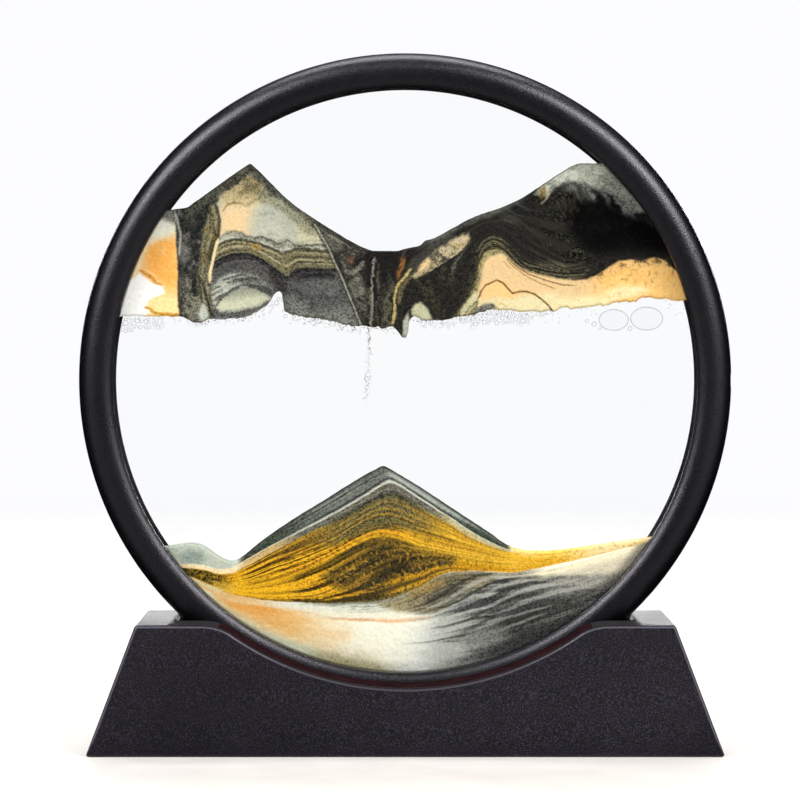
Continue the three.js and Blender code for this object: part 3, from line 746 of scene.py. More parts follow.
def lower_sand(X, Y, seed=0):
    n1 = fbm(X / 40, Y / 26, 11 + seed) - 0.5
    n2 = fbm(X / 8, Y / 6, 12 + seed) - 0.5
    n3 = fbm(X / 2.6, Y / 2.6, 13 + seed, 2) - 0.5
    edges = [curve(X, c) for c in (LOW_TOP, LOW_LINE, LOW_GREY, LOW_ARC1, LOW_ARC2, LOW_LENS, LOW_GOLD, LOW_PALE, LOW_PEACH, LOW_CREAM, LOW_BED)]
    for k in range(1, len(edges)):
        edges[k] = np.maximum(edges[k], edges[k - 1] + 0.35)
    depth = Y - edges[0]
    Yw = Y + step(0, 14, depth) * (2.6 * n1 + 0.7 * n2)
    T = np.zeros(X.shape)
    for k in range(len(edges) - 1):
        T = np.where(Yw >= edges[k], k + np.clip((Yw - edges[k]) / (edges[k + 1] - edges[k]), 0, 1), T)
    r = np.hypot(X - 405.6, Y - 380.2)

    def flow(f, stretch, s, oct=3):
        """Streaks that run with the layers, about -0.5..0.5."""
        return fbm(T * f + 3, X / stretch + 40, s + seed, oct) - 0.5

    def run(f, stretch, s):
        """One set of long streaks that run with the layers, 0..1."""
        return noise(T * f + 5, X / stretch + 11 + 0.4 * n1, s + seed)

    def thread(f, stretch, s, lo, hi):
        """Thin threads that run with the layers."""
        return step(lo, hi, run(f, stretch, s))

    def patch(points, feather=2.0, rough=1.0):
        return step(feather, -feather, off_patch(X, Y, points) + rough * (4 * n1 + 2.4 * n2))

    def line(points, width, feather=0.9, rough=0.6, ends=0.12):
        dist, along = off_line(X, Y + rough * 2.0 * n2, points)
        w = width / 2 * np.minimum(step(-0.02, ends, along), step(-0.02, ends, 1 - along))
        return step(feather, -0.2, dist - w) * step(0.0, 0.4, w)

    g = Grains(X, (252, 250, 230), (240, 238, 212), 0.26)

    # ---- floor of the hill: cream, sage at the left, greys at the right
    g.lay(bump(X, 330, 70) * step(8.0, 8.5, T) * 0.5, (250, 240, 208), (236, 222, 180), 0.25)
    g.lay(patch([(222, 606), (250, 624), (285, 640), (310, 650), (332, 660), (336, 676), (300, 668), (262, 648), (236, 626), (214, 604)], 9.0), (200, 208, 182), (172, 180, 156), 0.3)
    low = step(9.35, 9.75, T + 0.6 * n1)
    g.lay(low * (1 - step(300, 420, X)) * 0.4, (204, 208, 180), (166, 170, 146), 0.32)
    # a darker band along the ring's edge, in the sand's own hues there, darkened as painted shade under the ring
    rim = step(279.5, 289.5, r + 4 * n2)
    g.lay(rim * (1 - step(300, 340, X)) * 0.3, (168, 176, 152), (120, 126, 108), 0.4)
    g.lay(step(268, 290, r + 5 * n2) * step(300, 330, X) * (1 - step(362, 392, X)) * 0.6, (186, 172, 132), (142, 128, 92), 0.36)
    g.lay(rim * step(300, 340, X) * (1 - step(372, 415, X)) * 0.72, (158, 152, 114), (104, 98, 72), 0.42)
    g.lay(rim * step(372, 415, X) * (1 - step(430, 480, X)) * 0.6, (160, 162, 152), (98, 99, 92), 0.42)

    # ---- peach and orange wash under the white ribbon
    wash = patch([(205, 584), (224, 592), (250, 600), (285, 607), (320, 613), (348, 618), (356, 626), (348, 642), (332, 652), (300, 642), (264, 629), (242, 617), (222, 603)], 8.0)
    g.lay(wash * (1 - 0.8 * step(280, 346, X + 0.3 * (Y - 620))), (236, 186, 112), (226, 166, 88), 0.22)
    g.lay(patch([(203, 583), (222, 590), (245, 599), (270, 607), (282, 614), (266, 617), (246, 612), (230, 604), (214, 595)], 3.5) * 0.95, (234, 168, 86), (220, 146, 62), 0.24)
    g.lay(wash * step(0.06, 0.25, flow(4.0, 110, 61)) * 0.35, (242, 194, 132), (228, 166, 98), 0.26)
    g.lay(line([(296, 611), (320, 616), (334, 618.4), (351, 619.8), (376, 620.6), (394, 621.6), (414, 620), (440, 617)], 2.6, 1.3) * 0.85, (238, 190, 140), (206, 142, 90), 0.3)
    g.lay(line([(322, 616.4), (336, 618.4), (352, 619.6), (372, 620.2)], 1.2, 0.8) * 0.7, (206, 142, 84), BROWN, 0.2)

    # ---- white and sage ribbon below the gold
    ribbon = step(6.0, 6.06, T) * (1 - step(6.95, 7.35, T + 0.15 * n1))
    g.lay(ribbon * (1 - step(430, 470, X)), (232, 231, 213), (204, 206, 188), 0.3)
    g.lay(ribbon * (1 - step(236, 300, X)) * 0.85, (232, 184, 114), (220, 160, 84), 0.28)
    lines = step(0.02, 0.16, flow(6.5, 150, 71))
    g.lay(ribbon * lines * step(255, 330, X) * (1 - step(430, 470, X)) * 0.8, (176, 188, 172), (120, 128, 116), 0.35)
    g.lay(step(6.0, 6.1, T) * (1 - step(6.2, 6.5, T)) * step(290, 340, X) * (1 - step(420, 450, X)) * 0.75, (128, 134, 116), (70, 72, 60), 0.35)
    for v, wide, tone in ((6.62, 0.05, (92, 96, 88)), (7.18, 0.07, (120, 124, 116)), (6.9, 0.04, (140, 144, 134))):
        g.lay(bump(T + 0.05 * n1, v, wide * 2.2) * step(325, 365, X) * (1 - step(430, 470, X)) * 0.75, tone, COAL, 0.25)
    g.lay(step(7.0, 7.2, T) * (1 - step(7.6, 8.0, T)) * step(285, 330, X) * (1 - step(400, 440, X)) * 0.8, (240, 236, 212), (220, 216, 190), 0.3)

    # ---- greys at the right, flowing down from the gold
    streaks = 0.4 * run(6.0, 240, 81) + 0.34 * run(13, 200, 82) + 0.26 * run(27, 150, 83)
    dark = 0.16 + 0.6 * step(420, 505, X + 10 * n1) + 0.34 * step(460, 545, X) * step(7.4, 8.2, T)
    dark = dark - 0.22 * bump(T, 9.05, 0.5) * (1 - step(450, 520, X)) + 0.15 * bump(X, 560, 60) * step(7.9, 8.3, T) - 0.2 * step(588, 640, X) - 0.16 * step(8.9, 9.5, T)
    amount = step(0.42, 0.62, streaks + 0.62 * (dark - 0.5))
    deep = step(0.58, 0.8, streaks + 0.62 * (dark - 0.5))
    greys = step(400, 446, X + 24 * n1 + 14 * (T - 8)) * step(6.5, 7.0, T)
    g.lay(greys * 0.9, (224, 227, 219), (194, 198, 190), 0.3)
    g.lay(step(7.6, 8.1, T) * step(412, 452, X + 16 * n1) * (1 - step(470, 500, X)) * 0.8, (176, 178, 168), (138, 140, 131), 0.34)
    g.lay(greys * step(450, 525, X + 24 * n1) * 0.8, (152, 153, 146), (112, 112, 106), 0.36)
    g.lay(greys * amount, (130, 130, 123), (90, 90, 85), 0.36)
    g.lay(greys * deep, (66, 66, 62), (38, 38, 35), 0.42)
    g.lay(greys * bump(X, 562, 62) * bump(T, 8.6, 0.75) * 0.5, (84, 84, 79), (50, 50, 47), 0.42)
    g.lay(greys * step(505, 560, X) * step(0.6, 0.8, run(13, 120, 85)) * 0.45, (152, 152, 143), (106, 106, 99), 0.34)
    g.lay(greys * step(500, 545, X) * step(0.62, 0.8, run(17, 100, 87)) * 0.6, (50, 49, 46), (31, 30, 29), 0.4)
    for pts, wide in (
        ([(452, 645), (482, 630), (504, 614), (522, 604), (548, 597.4), (572, 591), (612, 577.6)], 4.0),
        ([(498, 600), (524, 592), (552, 587.4), (586, 578.6)], 2.2),
    ):
        g.lay(line(pts, wide, 2.0, 0.6, 0.3) * 0.45, (188, 188, 178), (138, 138, 129), 0.34)
    for pts, wide, much in (
        ([(462, 624), (484, 612), (506, 602), (534, 595), (566, 588), (600, 577)], 2.6, 0.75),
        ([(456, 636), (480, 624), (504, 613), (532, 604), (560, 598), (596, 587)], 3.4, 0.7),
        ([(440, 640), (470, 634), (500, 624), (530, 613), (562, 605), (592, 595)], 2.0, 0.65),
        ([(428, 644), (456, 642), (490, 636), (526, 624), (560, 613), (586, 603)], 2.2, 0.6),
        ([(424, 630), (446, 627), (470, 620), (490, 612)], 1.4, 0.5),
    ):
        g.lay(line(pts, wide, 1.3, 0.6, 0.4) * much, (62, 62, 58), (36, 36, 34), 0.4)
    for pts, wide, much in (
        ([(470, 622), (492, 611), (516, 602), (544, 596), (572, 590)], 1.8, 0.6),
        ([(452, 640), (478, 630), (506, 619), (536, 610), (566, 603)], 1.8, 0.55),
        ([(434, 647), (466, 640), (500, 631), (532, 619), (560, 609)], 1.8, 0.5),
    ):
        g.lay(line(pts, wide, 1.3, 0.6, 0.4) * much, (186, 187, 178), (142, 142, 134), 0.34)
    # cream shelf under the gold at the right
    g.lay(patch([(512, 580), (528, 577), (548, 577), (580, 574), (612, 571), (640, 563), (664, 556), (664, 570), (640, 578), (612, 587), (580, 594), (556, 597), (540, 595), (526, 588)], 5.0) * 0.8, (170, 168, 155), (130, 128, 118), 0.34)
    g.lay(step(574, 580, Y) * patch([(520, 580), (580, 574), (640, 563), (664, 556), (664, 570), (612, 587), (552, 592)], 3.0) * step(0.52, 0.74, run(15, 130, 88)) * 0.6, (104, 103, 96), (70, 70, 65), 0.38)
    g.lay(patch([(524, 574), (548, 569.6), (580, 561), (612, 552), (650, 541), (664, 540), (664, 559), (640, 565), (612, 573), (586, 575.6), (562, 576.4), (544, 578)], 3.0), (246, 237, 206), (236, 216, 164), 0.28)
    g.lay(patch([(560, 574), (586, 566), (612, 560), (640, 552), (664, 548), (664, 560), (640, 567), (612, 575), (584, 577)], 3.5) * 0.75, (214, 204, 180), (180, 170, 146), 0.3)
    # S-shaped dark and white streaks below the end of the gold
    under = step(6.0, 6.1, T) * (1 - step(6.35, 6.95, T)) * step(418, 446, X) * (1 - step(520, 552, X))
    g.lay(under * 0.9, (160, 156, 136), (108, 104, 86), 0.36)
    g.lay(under * step(0.5, 0.75, run(14, 90, 89)) * 0.8, (92, 88, 70), (54, 52, 42), 0.4)
    sway = patch([(378, 603.4), (396, 600), (410, 594), (422, 587), (434, 580), (446, 575), (462, 572), (486, 573), (500, 577), (490, 586), (474, 591), (461, 598), (450, 605), (437, 611.6), (420, 614), (398, 611.6), (384, 607.4)], 3.6, 0.7)
    g.lay(sway * 0.94, (142, 132, 102), (96, 88, 64), 0.38)
    g.lay(sway * patch([(424, 597), (436, 587), (450, 581), (466, 580), (466, 590), (456, 599), (444, 606), (430, 604)], 4.0) * 0.9, (92, 88, 74), (58, 55, 44), 0.42)
    g.lay(sway * step(0.5, 0.72, run(16, 110, 86)) * 0.8, (84, 79, 60), (50, 47, 36), 0.4)
    g.lay(sway * step(0.58, 0.78, run(22, 90, 84)) * 0.6, (178, 170, 142), (132, 124, 98), 0.34)
    g.lay(sway * (1 - step(398, 420, X)) * 0.5, (192, 178, 132), (146, 130, 84), 0.34)
    bend = np.array([(412, 608.6), (426, 604.8), (439, 598), (451, 589.4), (463, 581.6), (478, 576), (500, 573)])
    for k, (wide, colour, other, much) in enumerate((
        (2.6, (46, 47, 45), BLACK, 0.85), (3.0, (190, 193, 185), (150, 154, 146), 0.5), (1.8, (60, 62, 60), (32, 33, 32), 0.8),
        (2.6, (178, 182, 175), (138, 142, 135), 0.55), (3.4, (72, 75, 73), (40, 42, 40), 0.8), (2.6, (168, 173, 167), (124, 129, 123), 0.65),
        (3.8, (78, 80, 78), (46, 48, 46), 0.55), (2.0, (150, 155, 150), (108, 112, 108), 0.6), (4.2, (76, 78, 76), (44, 46, 44), 0.5),
    )):
        pts = (bend + [9.0 * k, 1.2 * k] + np.linspace(0, 1, len(bend))[:, None] * [5.0 * k, 0.9 * k]).tolist()
        g.lay(line(pts, wide, 1.0, 0.5, 0.3) * min(1.0, much * (1.15 if k else 0.7)), colour, other, 0.34)
    g.lay(patch([(470, 632), (490, 626), (508, 630), (506, 644), (486, 650), (466, 648)], 9.0) * 0.8, (142, 142, 138), (104, 104, 100), 0.36)
    g.lay(patch([(452, 601), (468, 593), (484, 594), (480, 604), (462, 610)], 6.0) * 0.45, (92, 92, 90), (58, 58, 56), 0.4)
    g.lay(patch([(546, 584), (570, 575), (606, 568), (602, 582), (570, 593), (550, 595)], 7.0) * 0.3, (200, 198, 186), (150, 149, 138), 0.36)
    g.lay(patch([(404, 591), (420, 583), (440, 579), (446, 585), (430, 594), (412, 599)], 5.0) * 0.45, (194, 154, 70), (140, 108, 50), 0.36)
    # painted shadow of the ring along the bottom of the hill, and a dark band at the ring's edge that is painted shade
    shadow = line([(424, 667), (452, 662), (490, 655.6), (530, 645), (562, 632), (590, 614)], 10, 9.0, 0.8, 0.7)
    g.lay(shadow * 0.5 * step(430, 520, X), (56, 59, 57), (28, 29, 28), 0.45)
    g.lay(step(281, 290, r) * step(415, 475, X) * 0.45, (74, 76, 73), COAL, 0.4)

    # ---- gold body
    gold = step(1.95, 2.05, T) * (1 - step(5.97, 6.03, T))
    g.lay(gold, (244, 184, 36), (158, 110, 24), 0.28)
    g.lay(gold * step(0.5, 0.75, run(3.0, 230, 90)) * 0.5, (238, 168, 40), (210, 134, 26), 0.26)
    g.lay(gold * step(0.55, 0.8, run(4.2, 200, 91)) * 0.65, (246, 194, 44), (218, 160, 26), 0.26)
    pool = patch([(222, 588), (246, 577), (274, 572), (293, 578), (297, 591), (286, 601), (250, 600), (228, 594)], 7.0)
    g.lay(gold * pool * 0.85, (242, 186, 32), (196, 140, 22), 0.26)
    right = step(392, 430, X) * (1 - step(4.6, 5.4, T))
    g.lay(gold * right * 0.88, (240, 194, 58), (206, 154, 42), 0.3)
    edge = (1 - step(2.1, 2.5, T)) * step(425, 450, X) * (1 - step(500, 515, X))
    g.lay(gold * edge * 0.8, (186, 140, 46), (120, 88, 30), 0.38)
    # long brown threads, close together on the left slope
    left = step(238, 262, X) * (1 - step(372, 402, X))
    less = (1 - 0.7 * pool) * (0.25 + 0.75 * left)
    g.lay(gold * thread(7.5, 260, 101, 0.56, 0.78) * less * 0.9, (112, 78, 20), (64, 46, 16), 0.38)
    g.lay(gold * thread(13, 200, 103, 0.6, 0.8) * less * 0.95, (66, 48, 16), (36, 28, 13), 0.38)
    g.lay(gold * thread(24, 150, 105, 0.64, 0.84) * less * 0.8, (58, 44, 16), (34, 27, 13), 0.38)
    g.lay(gold * thread(10, 180, 106, 0.66, 0.86) * left * 0.7, (248, 192, 40), (224, 158, 26), 0.24)
    g.lay(gold * thread(16, 170, 108, 0.7, 0.86) * step(404, 430, X) * (1 - step(486, 512, X)) * 0.75, (150, 98, 22), (92, 62, 18), 0.36)
    dash = thread(15, 60, 113, 0.56, 0.8) * (1 - step(3.4, 4.2, T)) * step(238, 256, X) * (1 - step(318, 350, X))
    g.lay(gold * dash * 0.85, (58, 42, 14), (32, 25, 12), 0.38)
    g.lay(gold * step(0.1, 0.3, n3) * (0.18 + 0.16 * step(315, 360, X)) * (1 - step(440, 480, X)) * (1 - 0.6 * pool), (116, 86, 26), (70, 52, 20), 0.36)
    # the two arcs over the lens
    a1 = bump(T, 3.02, 0.12) * step(300, 350, X) * (1 - step(440, 480, X))
    g.lay(gold * a1 * 0.85, (98, 70, 20), (54, 40, 16), 0.38)
    a2 = bump(T + 0.08 * n1, 4.08, 0.2) * step(318, 352, X) * (1 - step(404, 426, X))
    g.lay(gold * a2 * 0.95, (58, 52, 28), (30, 27, 16), 0.42)
    # olive and grey speckle under the cap, near the top of the hill
    olive = (1 - step(2.6, 3.4, T + 0.7 * n1 - 0.5 * bump(X, 368, 46))) * step(296, 350, X) * (1 - step(412, 452, X))
    g.lay(gold * olive * 0.95, (112, 106, 68), (62, 58, 38), 0.42)
    g.lay(gold * olive * step(0.55, 0.78, run(9, 200, 93)) * 0.75, (190, 146, 50), (126, 96, 36), 0.36)
    g.lay(gold * olive * step(0.52, 0.76, run(12, 170, 95)) * 0.75, (70, 67, 48), (40, 38, 28), 0.42)
    g.lay(gold * (1 - step(2.2, 2.9, T)) * step(255, 290, X) * (1 - step(318, 352, X)) * 0.55, (170, 132, 50), (104, 80, 34), 0.36)
    g.lay(gold * (1 - step(2.3, 2.8, T)) * step(340, 362, X) * (1 - step(402, 422, X)) * 0.5, (106, 102, 74), (60, 57, 42), 0.42)
    # dark heart of the hill, streaked with gold
    heart = patch([(324, 577), (346, 560), (366, 546), (382, 539.6), (396, 541.6), (412, 549), (436, 555), (454, 559), (452, 567), (434, 579), (421, 591), (404, 599), (388, 599), (376, 594), (358, 590), (338, 586)], 8.0, 1.4)
    g.lay(gold * heart * 0.94, (74, 67, 42), (38, 35, 24), 0.46)
    g.lay(gold * heart * step(0.52, 0.76, run(8, 130, 141)) * 0.85, (50, 45, 26), (27, 25, 15), 0.42)
    g.lay(gold * heart * step(0.58, 0.78, run(11, 120, 142)) * 0.5, (190, 142, 38), (112, 84, 28), 0.42)
    g.lay(gold * heart * step(0.62, 0.82, run(20, 100, 143)) * 0.45, (196, 148, 42), (118, 88, 30), 0.42)
    g.lay(gold * heart * step(0.1, 0.28, n3) * 0.5, (206, 154, 44), (140, 104, 32), 0.38)
    g.lay(gold * patch([(370, 578), (377, 570), (386, 564), (398, 560), (414, 561), (412, 573), (398, 584), (382, 586)], 7.0) * 0.85, (50, 46, 31), (27, 25, 18), 0.42)
    g.lay(gold * patch([(364, 556), (374, 546), (388, 543), (396, 548), (386, 555), (372, 562)], 5.0) * 0.6, (58, 53, 31), (30, 28, 18), 0.42)
    g.lay(gold * heart * step(0.16, 0.3, n3) * 0.45, (206, 154, 44), (140, 104, 32), 0.38)
    for v, wide, colour in ((5.62, 0.1, (224, 164, 34)), (5.78, 0.06, (66, 55, 24)), (5.88, 0.07, (232, 174, 40))):
        g.lay(gold * bump(T + 0.06 * n1, v, wide * 1.7) * step(372, 400, X) * (1 - step(452, 486, X)) * 0.8, colour, (92, 70, 26), 0.25)
    # threads at the foot, running out to the left
    foot = step(5.2, 5.6, T) * step(276, 312, X) * (1 - step(372, 398, X))
    g.lay(gold * foot * step(0.56, 0.76, run(12, 90, 109)) * 0.85, (72, 60, 26), (40, 34, 18), 0.4)
    g.lay(step(5.88, 5.98, T) * (1 - step(6.04, 6.14, T)) * step(280, 320, X) * (1 - step(390, 420, X)) * 0.65, (96, 88, 52), (58, 54, 36), 0.4)
    # black and gold band at the far left
    far = step(2.0, 2.3, T) * (1 - step(4.6, 5.2, T + 0.4 * n2)) * (1 - step(214, 236, X))
    g.lay(far * 0.95, (112, 92, 34), (30, 27, 16), 0.5)
    g.lay(far * step(0.04, 0.2, n2) * 0.6, (196, 146, 34), (90, 70, 24), 0.4)
    g.lay(gold * step(206, 216, X) * (1 - step(228, 244, X)) * step(3.0, 3.8, T) * 0.7, (226, 182, 66), (184, 138, 44), 0.3)
    g.lay(step(5.0, 5.3, T) * (1 - step(6.4, 6.9, T)) * (1 - step(212, 232, X)) * 0.85, (226, 214, 172), (180, 160, 110), 0.3)

    # ---- cap: slate skin with grey lines, the white line, greys below it
    hill = step(234, 248, X) * (1 - step(506, 514, X))
    cap = (1 - step(0.98, 1.04, T)) * hill
    g.lay(cap, (110, 114, 107), (78, 81, 75), 0.36)
    g.lay(cap * step(0.5, 0.74, run(8, 300, 121)) * 0.7, (88, 93, 86), (56, 59, 54), 0.4)
    g.lay(cap * step(0.56, 0.78, run(13, 260, 122)) * step(286, 330, X) * 0.75, (164, 170, 162), (120, 125, 117), 0.34)
    g.lay(cap * step(0.62, 0.82, run(17, 240, 123)) * 0.6, (58, 61, 56), (38, 40, 36), 0.4)
    g.lay(cap * (1 - step(268, 320, X)) * 0.85, (66, 74, 62), (32, 36, 30), 0.42)
    g.lay(cap * bump(T, 0.5, 0.42) * step(382, 394, X) * (1 - step(462, 486, X)) * 0.85, (186, 194, 184), (132, 138, 128), 0.35)
    g.lay(cap * bump(T, 0.9, 0.13) * step(296, 330, X) * (1 - step(455, 480, X)) * 0.9, (46, 49, 45), BLACK, 0.4)
    g.lay(cap * step(440, 478, X) * step(0.35, 0.6, T) * 0.9, (66, 76, 62), (34, 40, 32), 0.42)
    g.lay(cap * (1 - step(0.6, 2.4, depth)) * 0.9, (52, 55, 50), BLACK, 0.4)
    white = step(0.95, 1.01, T) * (1 - step(1.06 + 0.26 * (1 - step(262, 300, X)), 1.24 + 0.36 * (1 - step(262, 300, X)), T)) * hill
    g.lay(white, (184, 186, 176), (140, 143, 134), 0.34)
    g.lay(white * (1 - step(262, 300, X)), (206, 192, 156), (170, 154, 118), 0.34)
    rest = step(1.14, 1.3, T) * (1 - step(1.97, 2.03, T)) * hill
    g.lay(rest, (112, 111, 98), (70, 68, 59), 0.4)
    g.lay(rest * step(0.5, 0.72, run(9, 220, 125)) * 0.85, (80, 80, 68), (48, 48, 40), 0.4)
    g.lay(rest * step(0.6, 0.8, run(12, 200, 126)) * 0.7, (156, 155, 139), (116, 115, 101), 0.34)
    g.lay(bump(T, 2.02, 0.16) * step(318, 345, X) * (1 - step(400, 425, X)) * 0.8, (62, 62, 50), BLACK, 0.4)
    g.lay(rest * (1 - step(270, 308, X)), (206, 178, 120), (164, 128, 70), 0.34)
    g.lay(rest * step(430, 455, X), (196, 184, 132), (140, 120, 70), 0.35)

    # ---- little sage hill at the left, and the pale gold skin at the right
    sage = (1 - step(0.93, 1.04, T)) * (1 - step(230, 246, X))
    g.lay(sage, (190, 197, 182), (158, 165, 151), 0.3)
    g.lay(sage * patch([(180, 556), (190, 549), (202, 552), (206, 560), (198, 566), (186, 564)], 5.0) * 0.75, (134, 148, 138), (104, 116, 108), 0.3)
    g.lay(sage * (1 - step(0.5, 2.2, depth)) * 0.6, (150, 164, 154), (120, 132, 122), 0.3)
    g.lay(step(0.95, 1.1, T) * (1 - step(1.85, 2.1, T)) * (1 - step(234, 252, X)), (243, 222, 178), (222, 176, 112), 0.28)
    skin = step(506, 524, X) * (1 - step(5.7, 6.05, T))
    g.lay(skin, (245, 206, 92), (222, 172, 62), 0.28)
    g.lay(skin * step(0.02, 0.2, flow(2.4, 70, 131)) * 0.55, (206, 140, 34), (150, 96, 24), 0.3)
    g.lay(skin * (1 - step(0.8, 2.6, depth)), (240, 208, 108), (226, 180, 70), 0.35)
    g.lay(skin * step(4, 9, depth) * (1 - step(552, 584, X)) * 0.75, (224, 172, 38), (180, 130, 28), 0.32)
    g.lay(skin * (1 - step(3, 7, depth)) * (1 - step(528, 546, X)) * 0.55, (232, 214, 150), (214, 184, 110), 0.3)
    g.lay(skin * step(552, 606, X) * 0.85, (238, 220, 172), (226, 194, 128), 0.32)
    g.lay(skin * step(0.14, 0.3, n3) * 0.4, (178, 130, 48), (126, 88, 32), 0.36)
    return g.soften()


# ---------------------------------------------------------------- upper mass
UP_TOP = [(118,211),(172,209.6),(178,208.8),(186,208),(196,201.4),(215,188),(235,173.8),(246,166.4),(250.5,163.8),(255,167.2),(262,173.6),(273,184.8),(292,202.8),(317,220.2),(338,233.4),(353,242.2),(364,247.4),(374,250.8),(386,251),(398,250.8),(405,248.8),(413,247),(420,245.6),(426,240.6),(433,238.8),(451,229.2),(471,218.6),(485,213),(499,208.6),(519,199.8),(540,186.6),(560,173.6),(572,166.4),(580,163.6),(600,163.4),(640,165),(700,170)]
UP_BOTTOM = [(118,316),(135,316),(150,316.6),(168,317),(180,316.6),(187,318.4),(195,322.8),(204,321.4),(212,318.6),(226,319.4),(237,318.6),(250,315.4),(258,311.5),(265,306.6),(271,300),(276,293),(280,292),(283.4,296),(284,305),(284.8,311.6),(292,314),(305,316.6),(321,319.4),(342,323.6),(356,326.4),(366,326.2),(376,326.4),(385,328.4),(392,326.6),(398,330.4),(403,336.5),(406,337.6),(408.6,332),(410,320),(414,316.4),(424,320.4),(434,320.6),(447,319.4),(460,316.6),(473,315.2),(484,311.6),(497,309.4),(510,310.4),(522,312),(532,311),(541,312.2),(549,311),(555,311.2),(560,308.8),(566,307.8),(574,309),(585,308.2),(592,307.2),(600,305.8),(606,305.8),(612,303.9),(620,302.3),(628,302.3),(636,302.4),(640,299),(647,297.8),(656,298.8),(667,299.4),(676,300.8),(684,300.4),(700,300)]


def upper_sand(X, Y, seed=0):
    n1 = fbm(X / 30, Y / 26, 21 + seed) - 0.5
    n2 = fbm(X / 10 + 5, Y / 9, 22 + seed) - 0.5
    n3 = fbm(X / 3.4, Y / 3.4 + 9, 23 + seed) - 0.5
    m2 = fbm(X / 11 + 31, Y / 10 + 4, 24 + seed) - 0.5
    top, bottom = curve(X, UP_TOP), curve(X, UP_BOTTOM)
    d = Y - top
    soft = step(0, 10, d)
    Xw, Yw = X + soft * (2.0 * n2 + 1.4 * n3), Y + soft * (1.8 * m2 + 1.3 * n3)

    def patch(points, feather=1.6, rough=1.0):
        return step(feather, -feather, off_patch(X + rough * (Xw - X), Y + rough * (Yw - Y), points))

    def line(points, width, feather=0.8, rough=0.6, ends=0.08):
        dist, along = off_line(X + rough * (Xw - X), Y + rough * (Yw - Y), points)
        w = width / 2 * np.minimum(step(-0.02, ends, along), step(-0.02, ends, 1 - along))
        return step(feather, -0.2, dist - w) * step(0.0, 0.3, w)

    def marble(sx, sy, s, warp=1.0):
        """Cloudy veins, about -0.5..0.5."""
        return fbm(X / sx + warp * (2.4 * n1 + 1.5 * n2), Y / sy + warp * (2.2 * m2 + 1.2 * n3), s + seed, 4) - 0.5

    def vein(sx, sy, s, lo=0.7, hi=1.0, warp=1.0):
        """Thin wandering threads."""
        a = noise(X / sx + warp * (2.6 * n1 + 1.6 * n2), Y / sy + warp * (2.0 * m2), s + seed)
        b = noise(X / (sx * 0.5) + warp * 3 * n2, Y / (sy * 0.5) + warp * 3 * m2, s + 5 + seed)
        return step(lo, hi, 1 - np.abs(1.3 * a + 0.7 * b - 1.0) * 2.6)

    g = Grains(X, (62, 60, 54), (36, 35, 32), 0.4)

    # ---- field under the left peak
    lines = [
        [(200, 190), (228, 183), (250, 178), (275, 192), (300, 212), (318, 226), (330, 240)],
        [(200, 245), (211, 243), (218.8, 239), (228.3, 232.3), (237.8, 231.3), (249.3, 236), (262.6, 237), (272, 240.9), (278, 243.7), (284, 242.6), (287.4, 239.4), (293, 243.7), (301, 245.6), (316, 244.3), (324, 244.7), (350, 247)],
        [(200, 252), (216.8, 246.6), (228.3, 240.9), (239.7, 239), (251, 240.9), (262.6, 244.7), (274, 249.4), (281.7, 252.3), (289.4, 250.8), (295, 248.8), (310, 249.6), (325.6, 250.4), (350, 253)],
        [(200, 268), (214, 261.8), (224.5, 256), (236, 252.3), (247.4, 252.7), (258.8, 257), (270.3, 264.7), (280, 271.4), (288.4, 276.4), (293.2, 271.4), (299, 269), (315, 268), (331, 268.4), (350, 270)],
        [(200, 277), (214, 269.5), (228, 262.8), (243.6, 259.6), (255, 260.9), (266.5, 267.6), (276, 277), (288.4, 282), (295, 277.6), (301, 274.6), (316, 272.6), (333, 272.4), (350, 274)],
        [(200, 288), (212, 279), (224.5, 271.4), (243.6, 267.6), (258.8, 271.4), (270.3, 281), (278, 292.4), (300, 302), (350, 334)],
    ]
    e = [curve(X, c) for c in lines]
    for k in range(1, len(e)):
        e[k] = np.maximum(e[k], e[k - 1] + 0.3)
    T = np.full(X.shape, -1.0)
    for k in range(len(e) - 1):
        T = np.where(Yw >= e[k], k + np.clip((Yw - e[k]) / (e[k + 1] - e[k]), 0, 1), T)

    def flow(f, stretch, s, oct=3):
        return fbm(T * f + 3, X / stretch + 40, s + seed, oct) - 0.5

    zone = patch([(214, 192), (224, 181), (236, 176), (252, 173), (264, 184), (284, 195), (300, 211), (318, 227), (330, 246), (346, 282), (362, 328), (300, 326), (208, 326), (209, 300), (211, 270), (217, 240), (219, 222), (216, 206)], 1.8, 0.8)
    g.lay(zone, (170, 172, 158), (120, 122, 110), 0.3)
    # pale right side, with faint veins and an olive rim
    pale = patch([(246, 204), (262, 197), (278, 199), (294, 208), (308, 220), (318, 230), (326, 247), (300, 247), (270, 243), (248, 239)], 4.0)
    g.lay(zone * pale, (176, 178, 162), (156, 158, 142), 0.28)
    g.lay(zone * pale * step(214, 234, Y - 0.2 * (X - 270)) * (0.6 - 0.45 * step(280, 300, X)), (194, 193, 176), (174, 173, 156), 0.28)
    g.lay(zone * pale * step(276, 300, X) * (1 - step(222, 238, Y)) * 0.65, (148, 149, 128), (116, 116, 98), 0.34)
    g.lay(zone * pale * step(0.02, 0.2, marble(16, 7, 201)) * 0.6, (166, 169, 155), (142, 144, 131), 0.3)
    g.lay(zone * pale * vein(14, 6, 203, 0.75, 1.0) * 0.5, (150, 154, 138), (112, 112, 96), 0.35)
    g.lay(zone * patch([(294, 224), (312, 224), (324, 240), (324, 246), (302, 246)], 3.5) * 0.8, (198, 192, 160), (150, 142, 108), 0.35)
